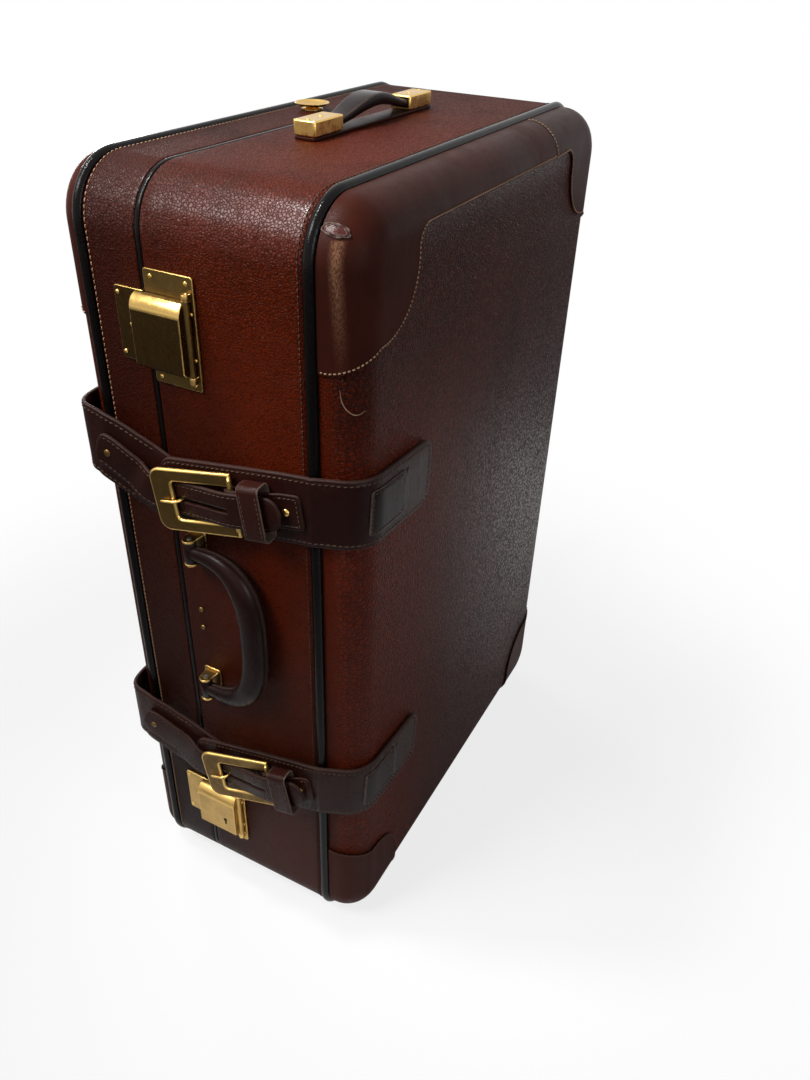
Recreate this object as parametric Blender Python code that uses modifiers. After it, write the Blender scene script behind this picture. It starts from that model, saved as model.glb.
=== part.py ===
"""A leather suitcase standing on its short end, as separate pieces.

Lengths are metres and +Z is up. The opening side with locks, straps and carry
handle faces -Y, the deep base is on +X, the shallow lid on -X, and the lid turns
on two butt hinges at the back. Pieces are placed in the case's own frame, whose
origin is the middle of the opening plane.
"""

import math

import bmesh
import bpy
from mathutils import Matrix, Vector

# Case body
CASE_LENGTH = 0.660
CASE_WIDTH = 0.436
CORNER_RADIUS = 0.040
BASE_DEPTH = 0.123
LID_DEPTH = 0.051
BASE_RISE = 0.033
LID_RISE = 0.015
BASE_ROLL = 0.026
LID_ROLL = 0.009
BASE_WALL = 0.004
LID_WALL = 0.0034
PANEL_INSET = 0.003
PANEL_THICKNESS = 0.004
PIPING_RADIUS = 0.004
PIPING_PROUD = 0.002
BINDING_WIDTH = 0.004
RIM_WALL = 0.003
RIM_REACH = 0.012
RIM_SEAT = 0.020
LINING_THICKNESS = 0.0015
LINING_ROUND = 0.003
GAP = 0.0003

# Corner patches on the face panels
PATCH_THICKNESS = 0.0012
PATCH_WIDTH = 0.076
PATCH_HEIGHT = 0.089
PATCH_ROUND = 0.048
PATCH_DROOP = 0.5
PATCH_BAND = 0.0265
PATCH_BAND_END = 0.100
PATCH_BAND_FILLET = 0.012

# Hinges
HINGE_SPREAD = 0.400
HINGE_LENGTH = 0.050
LEAF_WIDTH = 0.022
LEAF_THICKNESS = 0.0012
KNUCKLE_RADIUS = 0.003
HINGE_PIN_RADIUS = 0.0013
PIN_CLEARANCE = 0.0003

# Locks
LOCK_SPREAD = 0.463
PLATE_WIDTH = 0.039
PLATE_HEIGHT = 0.077
PLATE_SHIFT = 0.002
PLATE_THICKNESS = 0.0017
PLATE_ROUND = 0.002
HASP_HEIGHT = 0.050
HASP_OVERHANG = 0.006
HASP_RISE = 0.0095
HASP_WALL = 0.0013
HASP_LIFT = 0.0006
HASP_CHAMFER = 0.003
HASP_CROWN = 0.010
HASP_KNUCKLE_RADIUS = 0.0024
HASP_PIN_RADIUS = 0.0011
HASP_AXIS_INSET = 0.0045
LUG_LENGTH = 0.005
STRIKE_WIDTH = 0.025
STRIKE_HEIGHT = 0.050
SEAM_CLEARANCE = 0.0008
TONGUE_LENGTH = 0.011
TONGUE_WIDTH = 0.012
TONGUE_THICKNESS = 0.0015
TONGUE_LIFT = 0.0014
BOLT_WIDTH = 0.004
BOLT_LENGTH = 0.009
BOLT_THICKNESS = 0.0024
BOLT_TRAVEL = 0.005

# Carry handle
HANDLE_X = 0.020
HANDLE_Z = -0.003
HANDLE_SPREAD = 0.137
HANDLE_REACH = 0.053
HANDLE_GRIP_RADIUS = 0.0105
HANDLE_END_RADIUS = 0.0052
HANDLE_FLATTEN = 0.86
HANDLE_BEND = 0.030
HANDLE_AXIS_LIFT = 0.0105
HANDLE_PIN_RADIUS = 0.0018
BARREL_LENGTH = 0.018
BRACKET_WIDTH = 0.016
BRACKET_PLATE = 0.0015
BRACKET_LUG = 0.0018
BRACKET_FOOT = 0.0025

# End handle and the round fitting on the lid's end
END_HANDLE_X = 0.037
END_HANDLE_Y = 0.003
END_HANDLE_LENGTH = 0.178
END_HANDLE_WIDTH = 0.018
END_BASE_THICKNESS = 0.002
CAP_LENGTH = 0.038
CAP_HEIGHT = 0.0105
CAP_ROUND = 0.0012
CAP_WALL = 0.0014
END_STRAP_THICKNESS = 0.0055
END_STRAP_FULLNESS = 0.003
END_STRAP_WIDTH = 0.014
END_STRAP_SWELL = 0.006
END_STRAP_ARCH = 0.0075
END_STRAP_ENTRY = 0.014
BUTTON_RADIUS = 0.0138
BUTTON_HEIGHT = 0.0055
BUTTON_Y = 0.022

# Straps and buckles
STRAP_WIDTH = 0.054
STRAP_THICKNESS = 0.0035
UPPER_STRAP_Z = 0.1297
LOWER_STRAP_Z = -0.1457
STRAP_ANCHOR = 0.101
UPPER_TILT = math.radians(8)
LOWER_TILT = math.radians(10.5)
STRAP_OUTWARD = math.radians(2.5)
STRAP_SAG_ANCHOR = 0.07
STRAP_END_ROUND = 0.012
STRAP_SEAM_GAP = 0.004
LID_STRAP_THICKNESS = 0.003
LID_STRAP_SLOPE = 0.52
LID_STRAP_RAISE = 0.0075
LID_STRAP_STAND_OFF = 0.0095
LID_STRAP_UNDER = 0.012
UPPER_HEEL_X = 0.0665
LOWER_HEEL_X = 0.080
BILLET_WIDTH = 0.027
BILLET_THICKNESS = 0.003
BILLET_PAST_KEEPER = 0.0105
BILLET_SETTLE = 0.001
BILLET_LIFT = 0.0017
CHAPE_WIDTH = 0.027
CHAPE_PLY = 0.002
CHAPE_RETURN = 0.0055
CHAPE_END_BACK = 0.004
PRONG_SLOT = 0.006
UPPER_KEEPER_START = 0.012
LOWER_KEEPER_START = 0.0068
KEEPER_WIDTH = 0.0175
KEEPER_PLY = 0.0015
KEEPER_SLACK = 0.0065
BUCKLE_LENGTH = 0.064
BUCKLE_HEIGHT = 0.050
BUCKLE_BAR = 0.017
BUCKLE_SIDE = 0.010
BUCKLE_THICKNESS = 0.0035
BUCKLE_ROUND = 0.009
BUCKLE_LEAN = math.radians(4.8)
HEEL_RADIUS = 0.002
PRONG_RADIUS = 0.0014
PRONG_BARREL_RADIUS = 0.0038
PRONG_BARREL_LENGTH = 0.0045

# Facets
CORNER_STEPS = 6
ROLL_STEPS = 4
LINING_STEPS = 2
ROUND_SIDES = 12
TURNED_SIDES = 20

# Places that follow from the sizes above
BASE_PANEL_START = BASE_DEPTH + PIPING_RADIUS + GAP
LID_PANEL_START = LID_DEPTH + PIPING_RADIUS + GAP
SEAM_X = -(BASE_DEPTH + BASE_RISE - LID_DEPTH - LID_RISE) / 2
HINGE_OFFSET = KNUCKLE_RADIUS + GAP
STRAP_STACK = HEEL_RADIUS + CHAPE_PLY + STRAP_THICKNESS + 2 * GAP
HEEL_LIFT = 0.0052 + STRAP_STACK
STRAP_LIFT = PIPING_PROUD + 2 * GAP
BUCKLE_REACH = BUCKLE_LENGTH * math.sin(STRAP_OUTWARD + BUCKLE_LEAN)
FRONT_REACH = HEEL_LIFT + BUCKLE_REACH + BUCKLE_THICKNESS
BACK_REACH = HINGE_OFFSET + KNUCKLE_RADIUS
CASE_CENTRE = Vector((SEAM_X, (FRONT_REACH - BACK_REACH) / 2, PIPING_PROUD + CASE_LENGTH / 2))
PLATE_TOP = GAP + PLATE_THICKNESS
HASP_AXIS_X = SEAM_CLEARANCE + PLATE_WIDTH - HASP_AXIS_INSET
HASP_AXIS_LIFT = PLATE_TOP + HASP_KNUCKLE_RADIUS + GAP

# Turns that lay a flat outline on a side of the case: its own z becomes the outward way
FACING_X = (math.pi / 2, 0, math.pi / 2)
FACING_FRONT = (math.pi / 2, 0, 0)
FACING_BACK = (math.pi / 2, 0, math.pi)
ALONG_Y = (math.pi / 2, 0, 0)

for left_over in list(bpy.data.objects):
    bpy.data.objects.remove(left_over, do_unlink=True)


def make_collection(name):
    collection = bpy.data.collections.new(name)
    bpy.context.scene.collection.children.link(collection)
    return collection


PARTS = make_collection("leather_suitcase")
CUTTERS = make_collection("cutters")


def make_material(name, colour, roughness, metallic=0.0):
    material = bpy.data.materials.new(name)
    material.use_nodes = True
    shader = material.node_tree.nodes["Principled BSDF"]
    shader.inputs["Base Color"].default_value = (*colour, 1.0)
    shader.inputs["Roughness"].default_value = roughness
    shader.inputs["Metallic"].default_value = metallic
    return material


RED_LEATHER = make_material("red_brown_leather", (0.115, 0.026, 0.012), 0.45)
DARK_LEATHER = make_material("dark_brown_leather", (0.035, 0.014, 0.011), 0.38)
PIPING_LEATHER = make_material("black_piping", (0.014, 0.010, 0.010), 0.40)
BRASS = make_material("brass", (0.62, 0.44, 0.13), 0.28, 1.0)
STEEL = make_material("steel", (0.45, 0.45, 0.44), 0.35, 1.0)
CLOTH = make_material("lining_cloth", (0.30, 0.20, 0.12), 0.90)
BOARD = make_material("rim_board", (0.05, 0.03, 0.02), 0.60)


def put(obj, parent, location=(0, 0, 0), rotation=(0, 0, 0)):
    obj.parent = parent
    obj.location = location
    obj.rotation_euler = rotation
    return obj


def make_frame(name, parent, location=(0, 0, 0), rotation=(0, 0, 0)):
    """An empty that carries pieces: joint axes run through some of these."""
    empty = bpy.data.objects.new(name, None)
    PARTS.objects.link(empty)
    return put(empty, parent, location, rotation)


def as_part(obj, material):
    PARTS.objects.link(obj)
    obj.data.materials.append(material)
    return obj


def as_cutter(obj):
    CUTTERS.objects.link(obj)
    obj.hide_render = True
    obj.display_type = "WIRE"
    return obj


def mesh_object(name, bm):
    bmesh.ops.recalc_face_normals(bm, faces=bm.faces)
    mesh = bpy.data.meshes.new(name)
    bm.to_mesh(mesh)
    bm.free()
    mesh.shade_smooth()
    mesh.set_sharp_from_angle(angle=math.radians(35))
    return bpy.data.objects.new(name, mesh)


def block(name, low, high):
    """A box between two corners."""
    low, high = Vector(low), Vector(high)
    bm = bmesh.new()
    bmesh.ops.create_cube(bm, size=1.0)
    bmesh.ops.scale(bm, vec=high - low, verts=bm.verts)
    bmesh.ops.translate(bm, vec=(low + high) / 2, verts=bm.verts)
    return mesh_object(name, bm)


def blocks(name, corners):
    """Several boxes in one helper mesh."""
    bm = bmesh.new()
    for low, high in corners:
        low, high = Vector(low), Vector(high)
        made = bmesh.ops.create_cube(bm, size=1.0)["verts"]
        bmesh.ops.scale(bm, vec=high - low, verts=made)
        bmesh.ops.translate(bm, vec=(low + high) / 2, verts=made)
    return mesh_object(name, bm)


def rod(name, radius, length, sides=ROUND_SIDES):
    """A cylinder along its own Z, centred on its origin."""
    bm = bmesh.new()
    bmesh.ops.create_cone(bm, cap_ends=True, segments=sides, radius1=radius, radius2=radius, depth=length)
    return mesh_object(name, bm)


def outline_curve(name, loops, thickness):
    """A flat plate: closed outlines, the inner ones holes, centred on its own z = 0."""
    curve = bpy.data.curves.new(name, "CURVE")
    curve.dimensions = "2D"
    curve.fill_mode = "BOTH"
    curve.extrude = thickness / 2
    for loop in loops:
        spline = curve.splines.new("POLY")
        spline.points.add(len(loop) - 1)
        for point, (u, v) in zip(spline.points, loop):
            point.co = (u, v, 0, 1)
        spline.use_cyclic_u = True
    return bpy.data.objects.new(name, curve)


def tube_curve(name, points, radius, cyclic=False, swell=None):
    """A round tube along points, with an optional factor on its radius at each point."""
    curve = bpy.data.curves.new(name, "CURVE")
    curve.dimensions = "3D"
    curve.bevel_depth = radius
    curve.bevel_resolution = 2
    curve.use_fill_caps = not cyclic
    spline = curve.splines.new("POLY")
    spline.points.add(len(points) - 1)
    for index, place in enumerate(points):
        spline.points[index].co = (*place, 1)
        spline.points[index].radius = swell[index] if swell else 1.0
    spline.use_cyclic_u = cyclic
    return bpy.data.objects.new(name, curve)


def to_mesh(obj, name):
    """The curve as a welded mesh object, so that it can be cut and joined."""
    PARTS.objects.link(obj)
    bpy.context.view_layer.update()
    graph = bpy.context.evaluated_depsgraph_get()
    mesh = bpy.data.meshes.new_from_object(obj.evaluated_get(graph))
    bm = bmesh.new()
    bm.from_mesh(mesh)
    bmesh.ops.remove_doubles(bm, verts=bm.verts, dist=1e-6)
    bmesh.ops.recalc_face_normals(bm, faces=bm.faces)
    bm.to_mesh(mesh)
    bm.free()
    bpy.data.objects.remove(obj, do_unlink=True)
    return bpy.data.objects.new(name, mesh)


def combine(obj, operation, other):
    modifier = obj.modifiers.new(operation.lower(), "BOOLEAN")
    modifier.operation = operation
    modifier.object = other
    return obj


def arc(centre, radius, start, end, steps):
    """Points on a circle from one angle to another, in degrees."""
    angles = [math.radians(start + (end - start) * i / steps) for i in range(steps + 1)]
    return [(centre[0] + radius * math.cos(a), centre[1] + radius * math.sin(a)) for a in angles]


def rounded_rectangle(width, height, radius, steps=CORNER_STEPS, middle=(0, 0)):
    right, top = width / 2 - radius, height / 2 - radius
    corners = ((right, top, 0), (-right, top, 90), (-right, -top, 180), (right, -top, 270))
    points = []
    for u, v, start in corners:
        points += arc((middle[0] + u, middle[1] + v), radius, start, start + 90, steps)
    return points


def case_outline(inset, steps=CORNER_STEPS):
    """The case's rounded end-on outline, drawn in by an inset."""
    return rounded_rectangle(
        CASE_WIDTH - 2 * inset, CASE_LENGTH - 2 * inset, CORNER_RADIUS - inset, steps
    )


def ring_band(name, inset, wall, start, end):
    """A band round the case between two planes across X."""
    obj = outline_curve(name, [case_outline(inset), case_outline(inset + wall)], end - start)
    return put(obj, CASE, ((start + end) / 2, 0, 0), FACING_X)


def dome(name, inset, rise, roll, side, steps=ROLL_STEPS):
    """A tray with the case's outline and a rolled edge, its mouth at x = 0 and open to -side."""
    bm = bmesh.new()
    bmesh.ops.create_cube(bm, size=1.0)
    bmesh.ops.translate(bm, vec=(0.5, 0, 0), verts=bm.verts)
    size = (rise, CASE_WIDTH - 2 * inset, CASE_LENGTH - 2 * inset)
    bmesh.ops.scale(bm, vec=size, verts=bm.verts)
    across = [e for e in bm.edges if abs(e.verts[0].co.x - e.verts[1].co.x) > rise / 2]
    bevel(bm, across, CORNER_RADIUS - inset, CORNER_STEPS)
    rim = [e for e in bm.edges if min(v.co.x for v in e.verts) > rise * 0.99]
    bevel(bm, rim, roll, steps)
    if side < 0:
        bmesh.ops.scale(bm, vec=(-1, 1, 1), verts=bm.verts)
    return mesh_object(name, bm)


def bevel(bm, edges, offset, segments):
    bmesh.ops.bevel(
        bm, geom=edges, offset=offset, offset_type="OFFSET", segments=segments,
        profile=0.5, affect="EDGES", clamp_overlap=False,
    )


def open_mouth(obj, thickness):
    """Turns a closed dome into a shell of the given wall, open at x = 0."""
    bm = bmesh.new()
    bm.from_mesh(obj.data)
    mouth = [f for f in bm.faces if all(abs(v.co.x) < 1e-6 for v in f.verts)]
    bmesh.ops.delete(bm, geom=mouth, context="FACES")
    bm.to_mesh(obj.data)
    bm.free()
    solidify = obj.modifiers.new("wall", "SOLIDIFY")
    solidify.thickness = thickness
    solidify.offset = -1
    solidify.use_even_offset = True
    return obj


def smooth_path(points, steps):
    """A smooth run through hand-set points, with a few steps in each stretch."""
    points = [Vector(p) for p in points]
    ends = [2 * points[0] - points[1]] + points + [2 * points[-1] - points[-2]]
    path = []
    for before, start, end, after in zip(ends, ends[1:], ends[2:], ends[3:]):
        for i in range(steps):
            t = i / steps
            bend = 2 * before - 5 * start + 4 * end - after
            twist = -before + 3 * start - 3 * end + after
            path.append(start + 0.5 * ((end - before) * t + bend * t**2 + twist * t**3))
    return path + [points[-1]]


def ribbon(name, centres, across, half_widths, thickness):
    """A strap along centres: a surface two points wide, given its thickness on the outer side."""
    bm = bmesh.new()
    rails = []
    for centre, side, half in zip(centres, across, half_widths):
        rails.append((bm.verts.new(centre - half * side), bm.verts.new(centre + half * side)))
    for (low, high), (next_low, next_high) in zip(rails, rails[1:]):
        bm.faces.new((low, next_low, next_high, high))
    mesh = bpy.data.meshes.new(name)
    bm.to_mesh(mesh)
    bm.free()
    obj = bpy.data.objects.new(name, mesh)
    solidify = obj.modifiers.new("thickness", "SOLIDIFY")
    solidify.thickness = thickness
    solidify.offset = 1
    solidify.use_even_offset = True
    return obj


def loft(name, stations):
    """A bar through matching loops of points, closed at both ends."""
    bm = bmesh.new()
    loops = [[bm.verts.new(point) for point in loop] for loop in stations]
    for loop, following in zip(loops, loops[1:]):
        for i in range(len(loop)):
            j = (i + 1) % len(loop)
            bm.faces.new((loop[i], loop[j], following[j], following[i]))
    bm.faces.new(loops[0])
    bm.faces.new(loops[-1])
    return mesh_object(name, bm)


def run_lengths(points):
    lengths = [0.0]
    for a, b in zip(points, points[1:]):
        lengths.append(lengths[-1] + (b - a).length)
    return lengths


def rounded_ends(lengths, half, start_round, end_round):
    """Half widths along a strap whose two ends have rounded corners."""
    total = lengths[-1]
    widths = []
    for s in lengths:
        cut = 0.0
        for distance, radius in ((s, start_round), (total - s, end_round)):
            if radius and distance < radius:
                cut = max(cut, radius - math.sqrt(radius**2 - (radius - distance) ** 2))
        widths.append(half - cut)
    return widths


def spread_ends(points, start_round, end_round, steps=3):
    """Adds stations near the ends of a run, so that rounded corners have points to follow."""
    first = [points[0] + (points[1] - points[0]).normalized() * start_round * f for f in round_steps(steps)]
    last = [points[-1] + (points[-2] - points[-1]).normalized() * end_round * f for f in round_steps(steps)]
    inner = [
        p for p in points
        if (p - points[0]).length > start_round * 1.05 and (p - points[-1]).length > end_round * 1.05
    ]
    return (first if start_round else [points[0]]) + inner + (last[::-1] if end_round else [points[-1]])


def round_steps(steps):
    return [1 - math.cos(math.pi / 2 * i / steps) for i in range(steps + 1)]


def upright_across(points):
    """Across directions of a strap whose surface stays upright: square to its run."""
    across = []
    for i in range(len(points)):
        along = (points[min(i + 1, len(points) - 1)] - points[max(i - 1, 0)]).normalized()
        outward = along.cross(Vector((0, 0, 1))).normalized()
        across.append(outward.cross(along))
    return across


def sagging(distance, slope_before, slope_after, easing):
    """Height of a strap that droops either way from a corner at distance 0, eased there."""
    bow = math.sqrt(distance**2 + easing**2) - easing
    return (slope_before - slope_after) / 2 * distance - (slope_before + slope_after) / 2 * bow


CASE = make_frame("case_frame", None, CASE_CENTRE)
FRONT = make_frame("front_face", CASE, (0, -CASE_WIDTH / 2, 0), FACING_FRONT)


def build_shells():
    """Side bands, domed face panels, piping, binding, inner rim and linings."""
    gusset = ring_band("base_gusset", 0, BASE_WALL, GAP, BASE_DEPTH - PIPING_RADIUS - GAP)
    as_part(gusset, RED_LEATHER)
    lid_end = -(LID_DEPTH - PIPING_RADIUS - GAP)
    as_part(ring_band("lid_gusset", 0, LID_WALL, lid_end, -BINDING_WIDTH - GAP), RED_LEATHER)
    binding = ring_band("lid_edge_binding", 0, LID_WALL, -BINDING_WIDTH, -GAP)
    as_part(binding, PIPING_LEATHER)
    rim = ring_band("base_rim_frame", BASE_WALL + GAP, RIM_WALL, -RIM_REACH, RIM_SEAT)
    as_part(rim, BOARD)
    inset = PIPING_RADIUS - PIPING_PROUD
    loop = case_outline(inset)
    for name, x in (("base_piping", BASE_DEPTH), ("lid_piping", -LID_DEPTH)):
        tube = tube_curve(name, [(0, y, z) for y, z in loop], PIPING_RADIUS, cyclic=True)
        as_part(put(tube, CASE, (x, 0, 0)), PIPING_LEATHER)
    base_panel = dome("base_face_panel", PANEL_INSET, BASE_DEPTH + BASE_RISE - BASE_PANEL_START, BASE_ROLL, 1)
    put(as_part(open_mouth(base_panel, PANEL_THICKNESS), RED_LEATHER), CASE, (BASE_PANEL_START, 0, 0))
    lid_panel = dome("lid_face_panel", PANEL_INSET, LID_DEPTH + LID_RISE - LID_PANEL_START, LID_ROLL, -1)
    put(as_part(open_mouth(lid_panel, PANEL_THICKNESS), RED_LEATHER), CASE, (-LID_PANEL_START, 0, 0))
    base_inset = BASE_WALL + RIM_WALL + 2 * GAP
    base_lining = dome("base_lining", base_inset, BASE_PANEL_START - 2 * GAP, LINING_ROUND, 1, LINING_STEPS)
    put(as_part(open_mouth(base_lining, LINING_THICKNESS), CLOTH), CASE, (GAP, 0, 0))
    lid_inset = 2 * PIPING_RADIUS - PIPING_PROUD + GAP
    lid_mouth = RIM_REACH + SEAM_CLEARANCE
    lid_lining = dome("lid_lining", lid_inset, LID_PANEL_START - GAP - lid_mouth, LINING_ROUND, -1, LINING_STEPS)
    put(as_part(open_mouth(lid_lining, LINING_THICKNESS), CLOTH), CASE, (-lid_mouth, 0, 0))


def corner_patch_outline():
    """A patch over the corner at +Y +Z: level below, round inside, upright to the top edge."""
    half_w, half_l = CASE_WIDTH / 2, CASE_LENGTH / 2
    left, low = half_w - PATCH_WIDTH, half_l - PATCH_HEIGHT
    past = PATCH_WIDTH
    inner = arc((left + PATCH_ROUND, low + PATCH_ROUND), PATCH_ROUND, 180, 270, CORNER_STEPS)
    return [(half_w + past, half_l + past), (left, half_l + past)] + inner + [(half_w + past, low - (past + half_w - inner[-1][0]) * PATCH_DROOP)]


def banded_patch_outline():
    """The front top corner patch and the band that runs back from it along the top edge."""
    corner = [(-y, z) for y, z in corner_patch_outline()][2:]
    edge = corner[0][0]
    band_low = CASE_LENGTH / 2 - PATCH_BAND
    fillet = arc((edge + PATCH_BAND_FILLET, band_low - PATCH_BAND_FILLET), PATCH_BAND_FILLET, 90, 180, CORNER_STEPS)
    above = CASE_LENGTH / 2 + PATCH_HEIGHT
    outer = corner[-1][0]
    end = PATCH_BAND_END
    return [(outer, above), (end, above), (end, band_low)] + fillet + corner


def build_patches():
    """Dark leather patches that follow the rolled corners of both face panels."""
    corner = corner_patch_outline()
    outlines = {
        "top_patch": banded_patch_outline(),
        "far_corner_patch": far_corner_outline(),
        "low_front_patch": [(-y, -z) for y, z in corner],
        "low_back_patch": [(y, -z) for y, z in corner],
    }
    shells = (
        ("base", 1, BASE_PANEL_START, BASE_DEPTH + BASE_RISE - BASE_PANEL_START, BASE_ROLL),
        ("lid", -1, LID_PANEL_START, LID_DEPTH + LID_RISE - LID_PANEL_START, LID_ROLL),
    )
    for shell, side, start, rise, roll in shells:
        outer_grow = GAP + PATCH_THICKNESS
        inner = dome(shell + "_panel_form", PANEL_INSET - GAP, rise + GAP, roll + GAP, side)
        put(as_cutter(inner), CASE, (side * start, 0, 0))
        for patch, outline in outlines.items():
            name = shell + "_" + patch
            obj = dome(name, PANEL_INSET - outer_grow, rise + outer_grow, roll + outer_grow, side)
            put(as_part(obj, DARK_LEATHER), CASE, (side * start, 0, 0))
            reach = to_mesh(outline_curve(name + "_outline", [outline], 2 * rise), name + "_form")
            put(as_cutter(reach), CASE, (side * (start + rise + GAP), 0, 0), FACING_X)
            combine(obj, "DIFFERENCE", inner)
            combine(obj, "INTERSECT", reach)


def far_corner_outline():
    """The back top corner patch, whose front edge flares out to meet the band's end."""
    corner = corner_patch_outline()[2:]
    start = PATCH_BAND_END + 2 * GAP
    band_low = CASE_LENGTH / 2 - PATCH_BAND
    edge = corner[0][0]
    fillet = arc((start, band_low - (edge - start)), edge - start, 90, 0, CORNER_STEPS)
    above = CASE_LENGTH / 2 + PATCH_HEIGHT
    outer = corner[-1][0]
    return [(outer, above), (start, above)] + fillet + corner


def build_hinge(place, height):
    """Two leaves with interlocking knuckles on a pin, on the back."""
    frame = make_frame(place + "_hinge_frame", CASE, (0, CASE_WIDTH / 2, height), FACING_BACK)
    axis = make_frame(place + "_hinge_axis", frame, (0, 0, HINGE_OFFSET))
    top = GAP + LEAF_THICKNESS
    meet = math.degrees(math.asin((top - HINGE_OFFSET) / KNUCKLE_RADIUS))
    section = [(LEAF_WIDTH, GAP)] + arc((0, HINGE_OFFSET), KNUCKLE_RADIUS, -90, -360 + meet, ROUND_SIDES)
    section.append((LEAF_WIDTH, top))
    bore = arc((0, HINGE_OFFSET), HINGE_PIN_RADIUS + PIN_CLEARANCE, 0, 360 - 360 / ROUND_SIDES, ROUND_SIDES - 1)
    knuckle = HINGE_LENGTH / 5
    reach = KNUCKLE_RADIUS + 2 * GAP
    spans = [(i * knuckle - HINGE_LENGTH / 2, (i + 1) * knuckle - HINGE_LENGTH / 2) for i in range(5)]
    for leaf, way, own in (("base_leaf", -1, (0, 2, 4)), ("lid_leaf", 1, (1, 3))):
        name = f"{place}_hinge_{leaf}"
        loops = [[(way * u, v) for u, v in loop] for loop in (section, bore)]
        obj = to_mesh(outline_curve(name + "_section", loops, HINGE_LENGTH), name)
        put(as_part(obj, BRASS), frame, (0, 0, 0), ALONG_Y)
        others = [span for i, span in enumerate(spans) if i not in own]
        boxes = [
            ((-reach, low - GAP / 2, -reach), (reach, high + GAP / 2, HINGE_OFFSET + reach)) for low, high in others
        ]
        notches = as_cutter(blocks(name + "_notches", boxes))
        put(notches, frame)
        combine(obj, "DIFFERENCE", notches)
    pin = rod(place + "_hinge_pin", HINGE_PIN_RADIUS, HINGE_LENGTH, 12)
    put(as_part(pin, STEEL), axis, (0, 0, 0), ALONG_Y)


def hasp_section(margin):
    """The hasp from its end: a chamfer below, a flat face, a round crown. Points are (height, lift)."""
    low, high = -HASP_HEIGHT / 2 + margin, HASP_HEIGHT / 2 - margin
    foot, face = PLATE_TOP + HASP_LIFT, PLATE_TOP + HASP_RISE - margin
    crown = HASP_CROWN - margin
    drop = face - foot - 0.001
    points = [(low, foot), (low, face - HASP_CHAMFER), (low + HASP_CHAMFER, face)]
    for i in range(CORNER_STEPS + 1):
        turn = math.pi / 2 * i / CORNER_STEPS
        points.append((high - crown + crown * math.sin(turn), face - drop + drop * math.cos(turn)))
    return points + [(high, foot)]


def build_lock(place, height):
    """A plate with lugs, a hollow hasp hinged on a pin, a lid strike with its tongue, and a bolt."""
    frame = make_frame(place + "_lock_frame", FRONT, (0, height, 0))
    axis = make_frame(place + "_hasp_axis", frame, (HASP_AXIS_X, 0, HASP_AXIS_LIFT))
    bore = rod(place + "_lock_bore", HASP_PIN_RADIUS + PIN_CLEARANCE, PLATE_HEIGHT * 2, 12)
    put(as_cutter(bore), axis, (0, 0, 0), ALONG_Y)

    middle = (SEAM_CLEARANCE + PLATE_WIDTH / 2, PLATE_SHIFT)
    outline = rounded_rectangle(PLATE_WIDTH, PLATE_HEIGHT, PLATE_ROUND, 3, middle)
    plate = to_mesh(outline_curve(place + "_plate", [outline], PLATE_THICKNESS), place + "_lock_plate")
    put(as_part(plate, BRASS), frame, (0, 0, GAP + PLATE_THICKNESS / 2))
    lug = [(HASP_KNUCKLE_RADIUS, PLATE_TOP - PLATE_THICKNESS / 2 - HASP_AXIS_LIFT)]
    lug += arc((0, 0), HASP_KNUCKLE_RADIUS, 0, 180, 8)
    lug.append((-HASP_KNUCKLE_RADIUS, lug[0][1]))
    for way in (-1, 1):
        lug_name = f"{place}_lock_lug_{'low' if way < 0 else 'high'}"
        helper = to_mesh(outline_curve(lug_name, [[(u, v) for u, v in lug]], LUG_LENGTH), lug_name)
        middle_y = way * (HASP_HEIGHT / 2 + GAP + LUG_LENGTH / 2)
        put(as_cutter(helper), axis, (0, middle_y, 0), ALONG_Y)
        combine(plate, "UNION", helper)
    combine(plate, "DIFFERENCE", bore)

    left, right = -HASP_OVERHANG, HASP_AXIS_X - HASP_KNUCKLE_RADIUS / 2
    hasp = to_mesh(outline_curve(place + "_hasp_s", [hasp_section(0)], right - left), place + "_lock_hasp")
    turn = (math.pi / 2, 0, math.pi / 2)
    put(as_part(hasp, BRASS), axis, ((left + right) / 2 - HASP_AXIS_X, 0, -HASP_AXIS_LIFT), turn)
    barrel = rod(place + "_hasp_barrel", HASP_KNUCKLE_RADIUS, HASP_HEIGHT)
    put(as_cutter(barrel), axis, (0, 0, 0), ALONG_Y)
    combine(hasp, "UNION", barrel)
    inside = [(y, z if z > PLATE_TOP + HASP_LIFT else 0) for y, z in hasp_section(HASP_WALL)]
    pocket_left, pocket_right = left + HASP_WALL, HASP_AXIS_X - HASP_KNUCKLE_RADIUS - HASP_WALL
    pocket = to_mesh(
        outline_curve(place + "_pocket_s", [inside], pocket_right - pocket_left), place + "_hasp_pocket"
    )
    put(as_cutter(pocket), frame, ((pocket_left + pocket_right) / 2, 0, 0), turn)
    combine(hasp, "DIFFERENCE", pocket)
    tongue_top = PLATE_TOP + TONGUE_LIFT + TONGUE_THICKNESS
    doorway = block(
        place + "_hasp_doorway",
        (left - HASP_WALL, -TONGUE_WIDTH / 2 - SEAM_CLEARANCE, 0),
        (left + 2 * HASP_WALL, TONGUE_WIDTH / 2 + SEAM_CLEARANCE, tongue_top + 2 * GAP),
    )
    put(as_cutter(doorway), frame)
    combine(hasp, "DIFFERENCE", doorway)
    combine(hasp, "DIFFERENCE", bore)

    pin = rod(place + "_hasp_pin", HASP_PIN_RADIUS, HASP_HEIGHT + 2 * LUG_LENGTH, 12)
    put(as_part(pin, STEEL), axis, (0, 0, 0), ALONG_Y)
    build_strike(place, frame, tongue_top)


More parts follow.
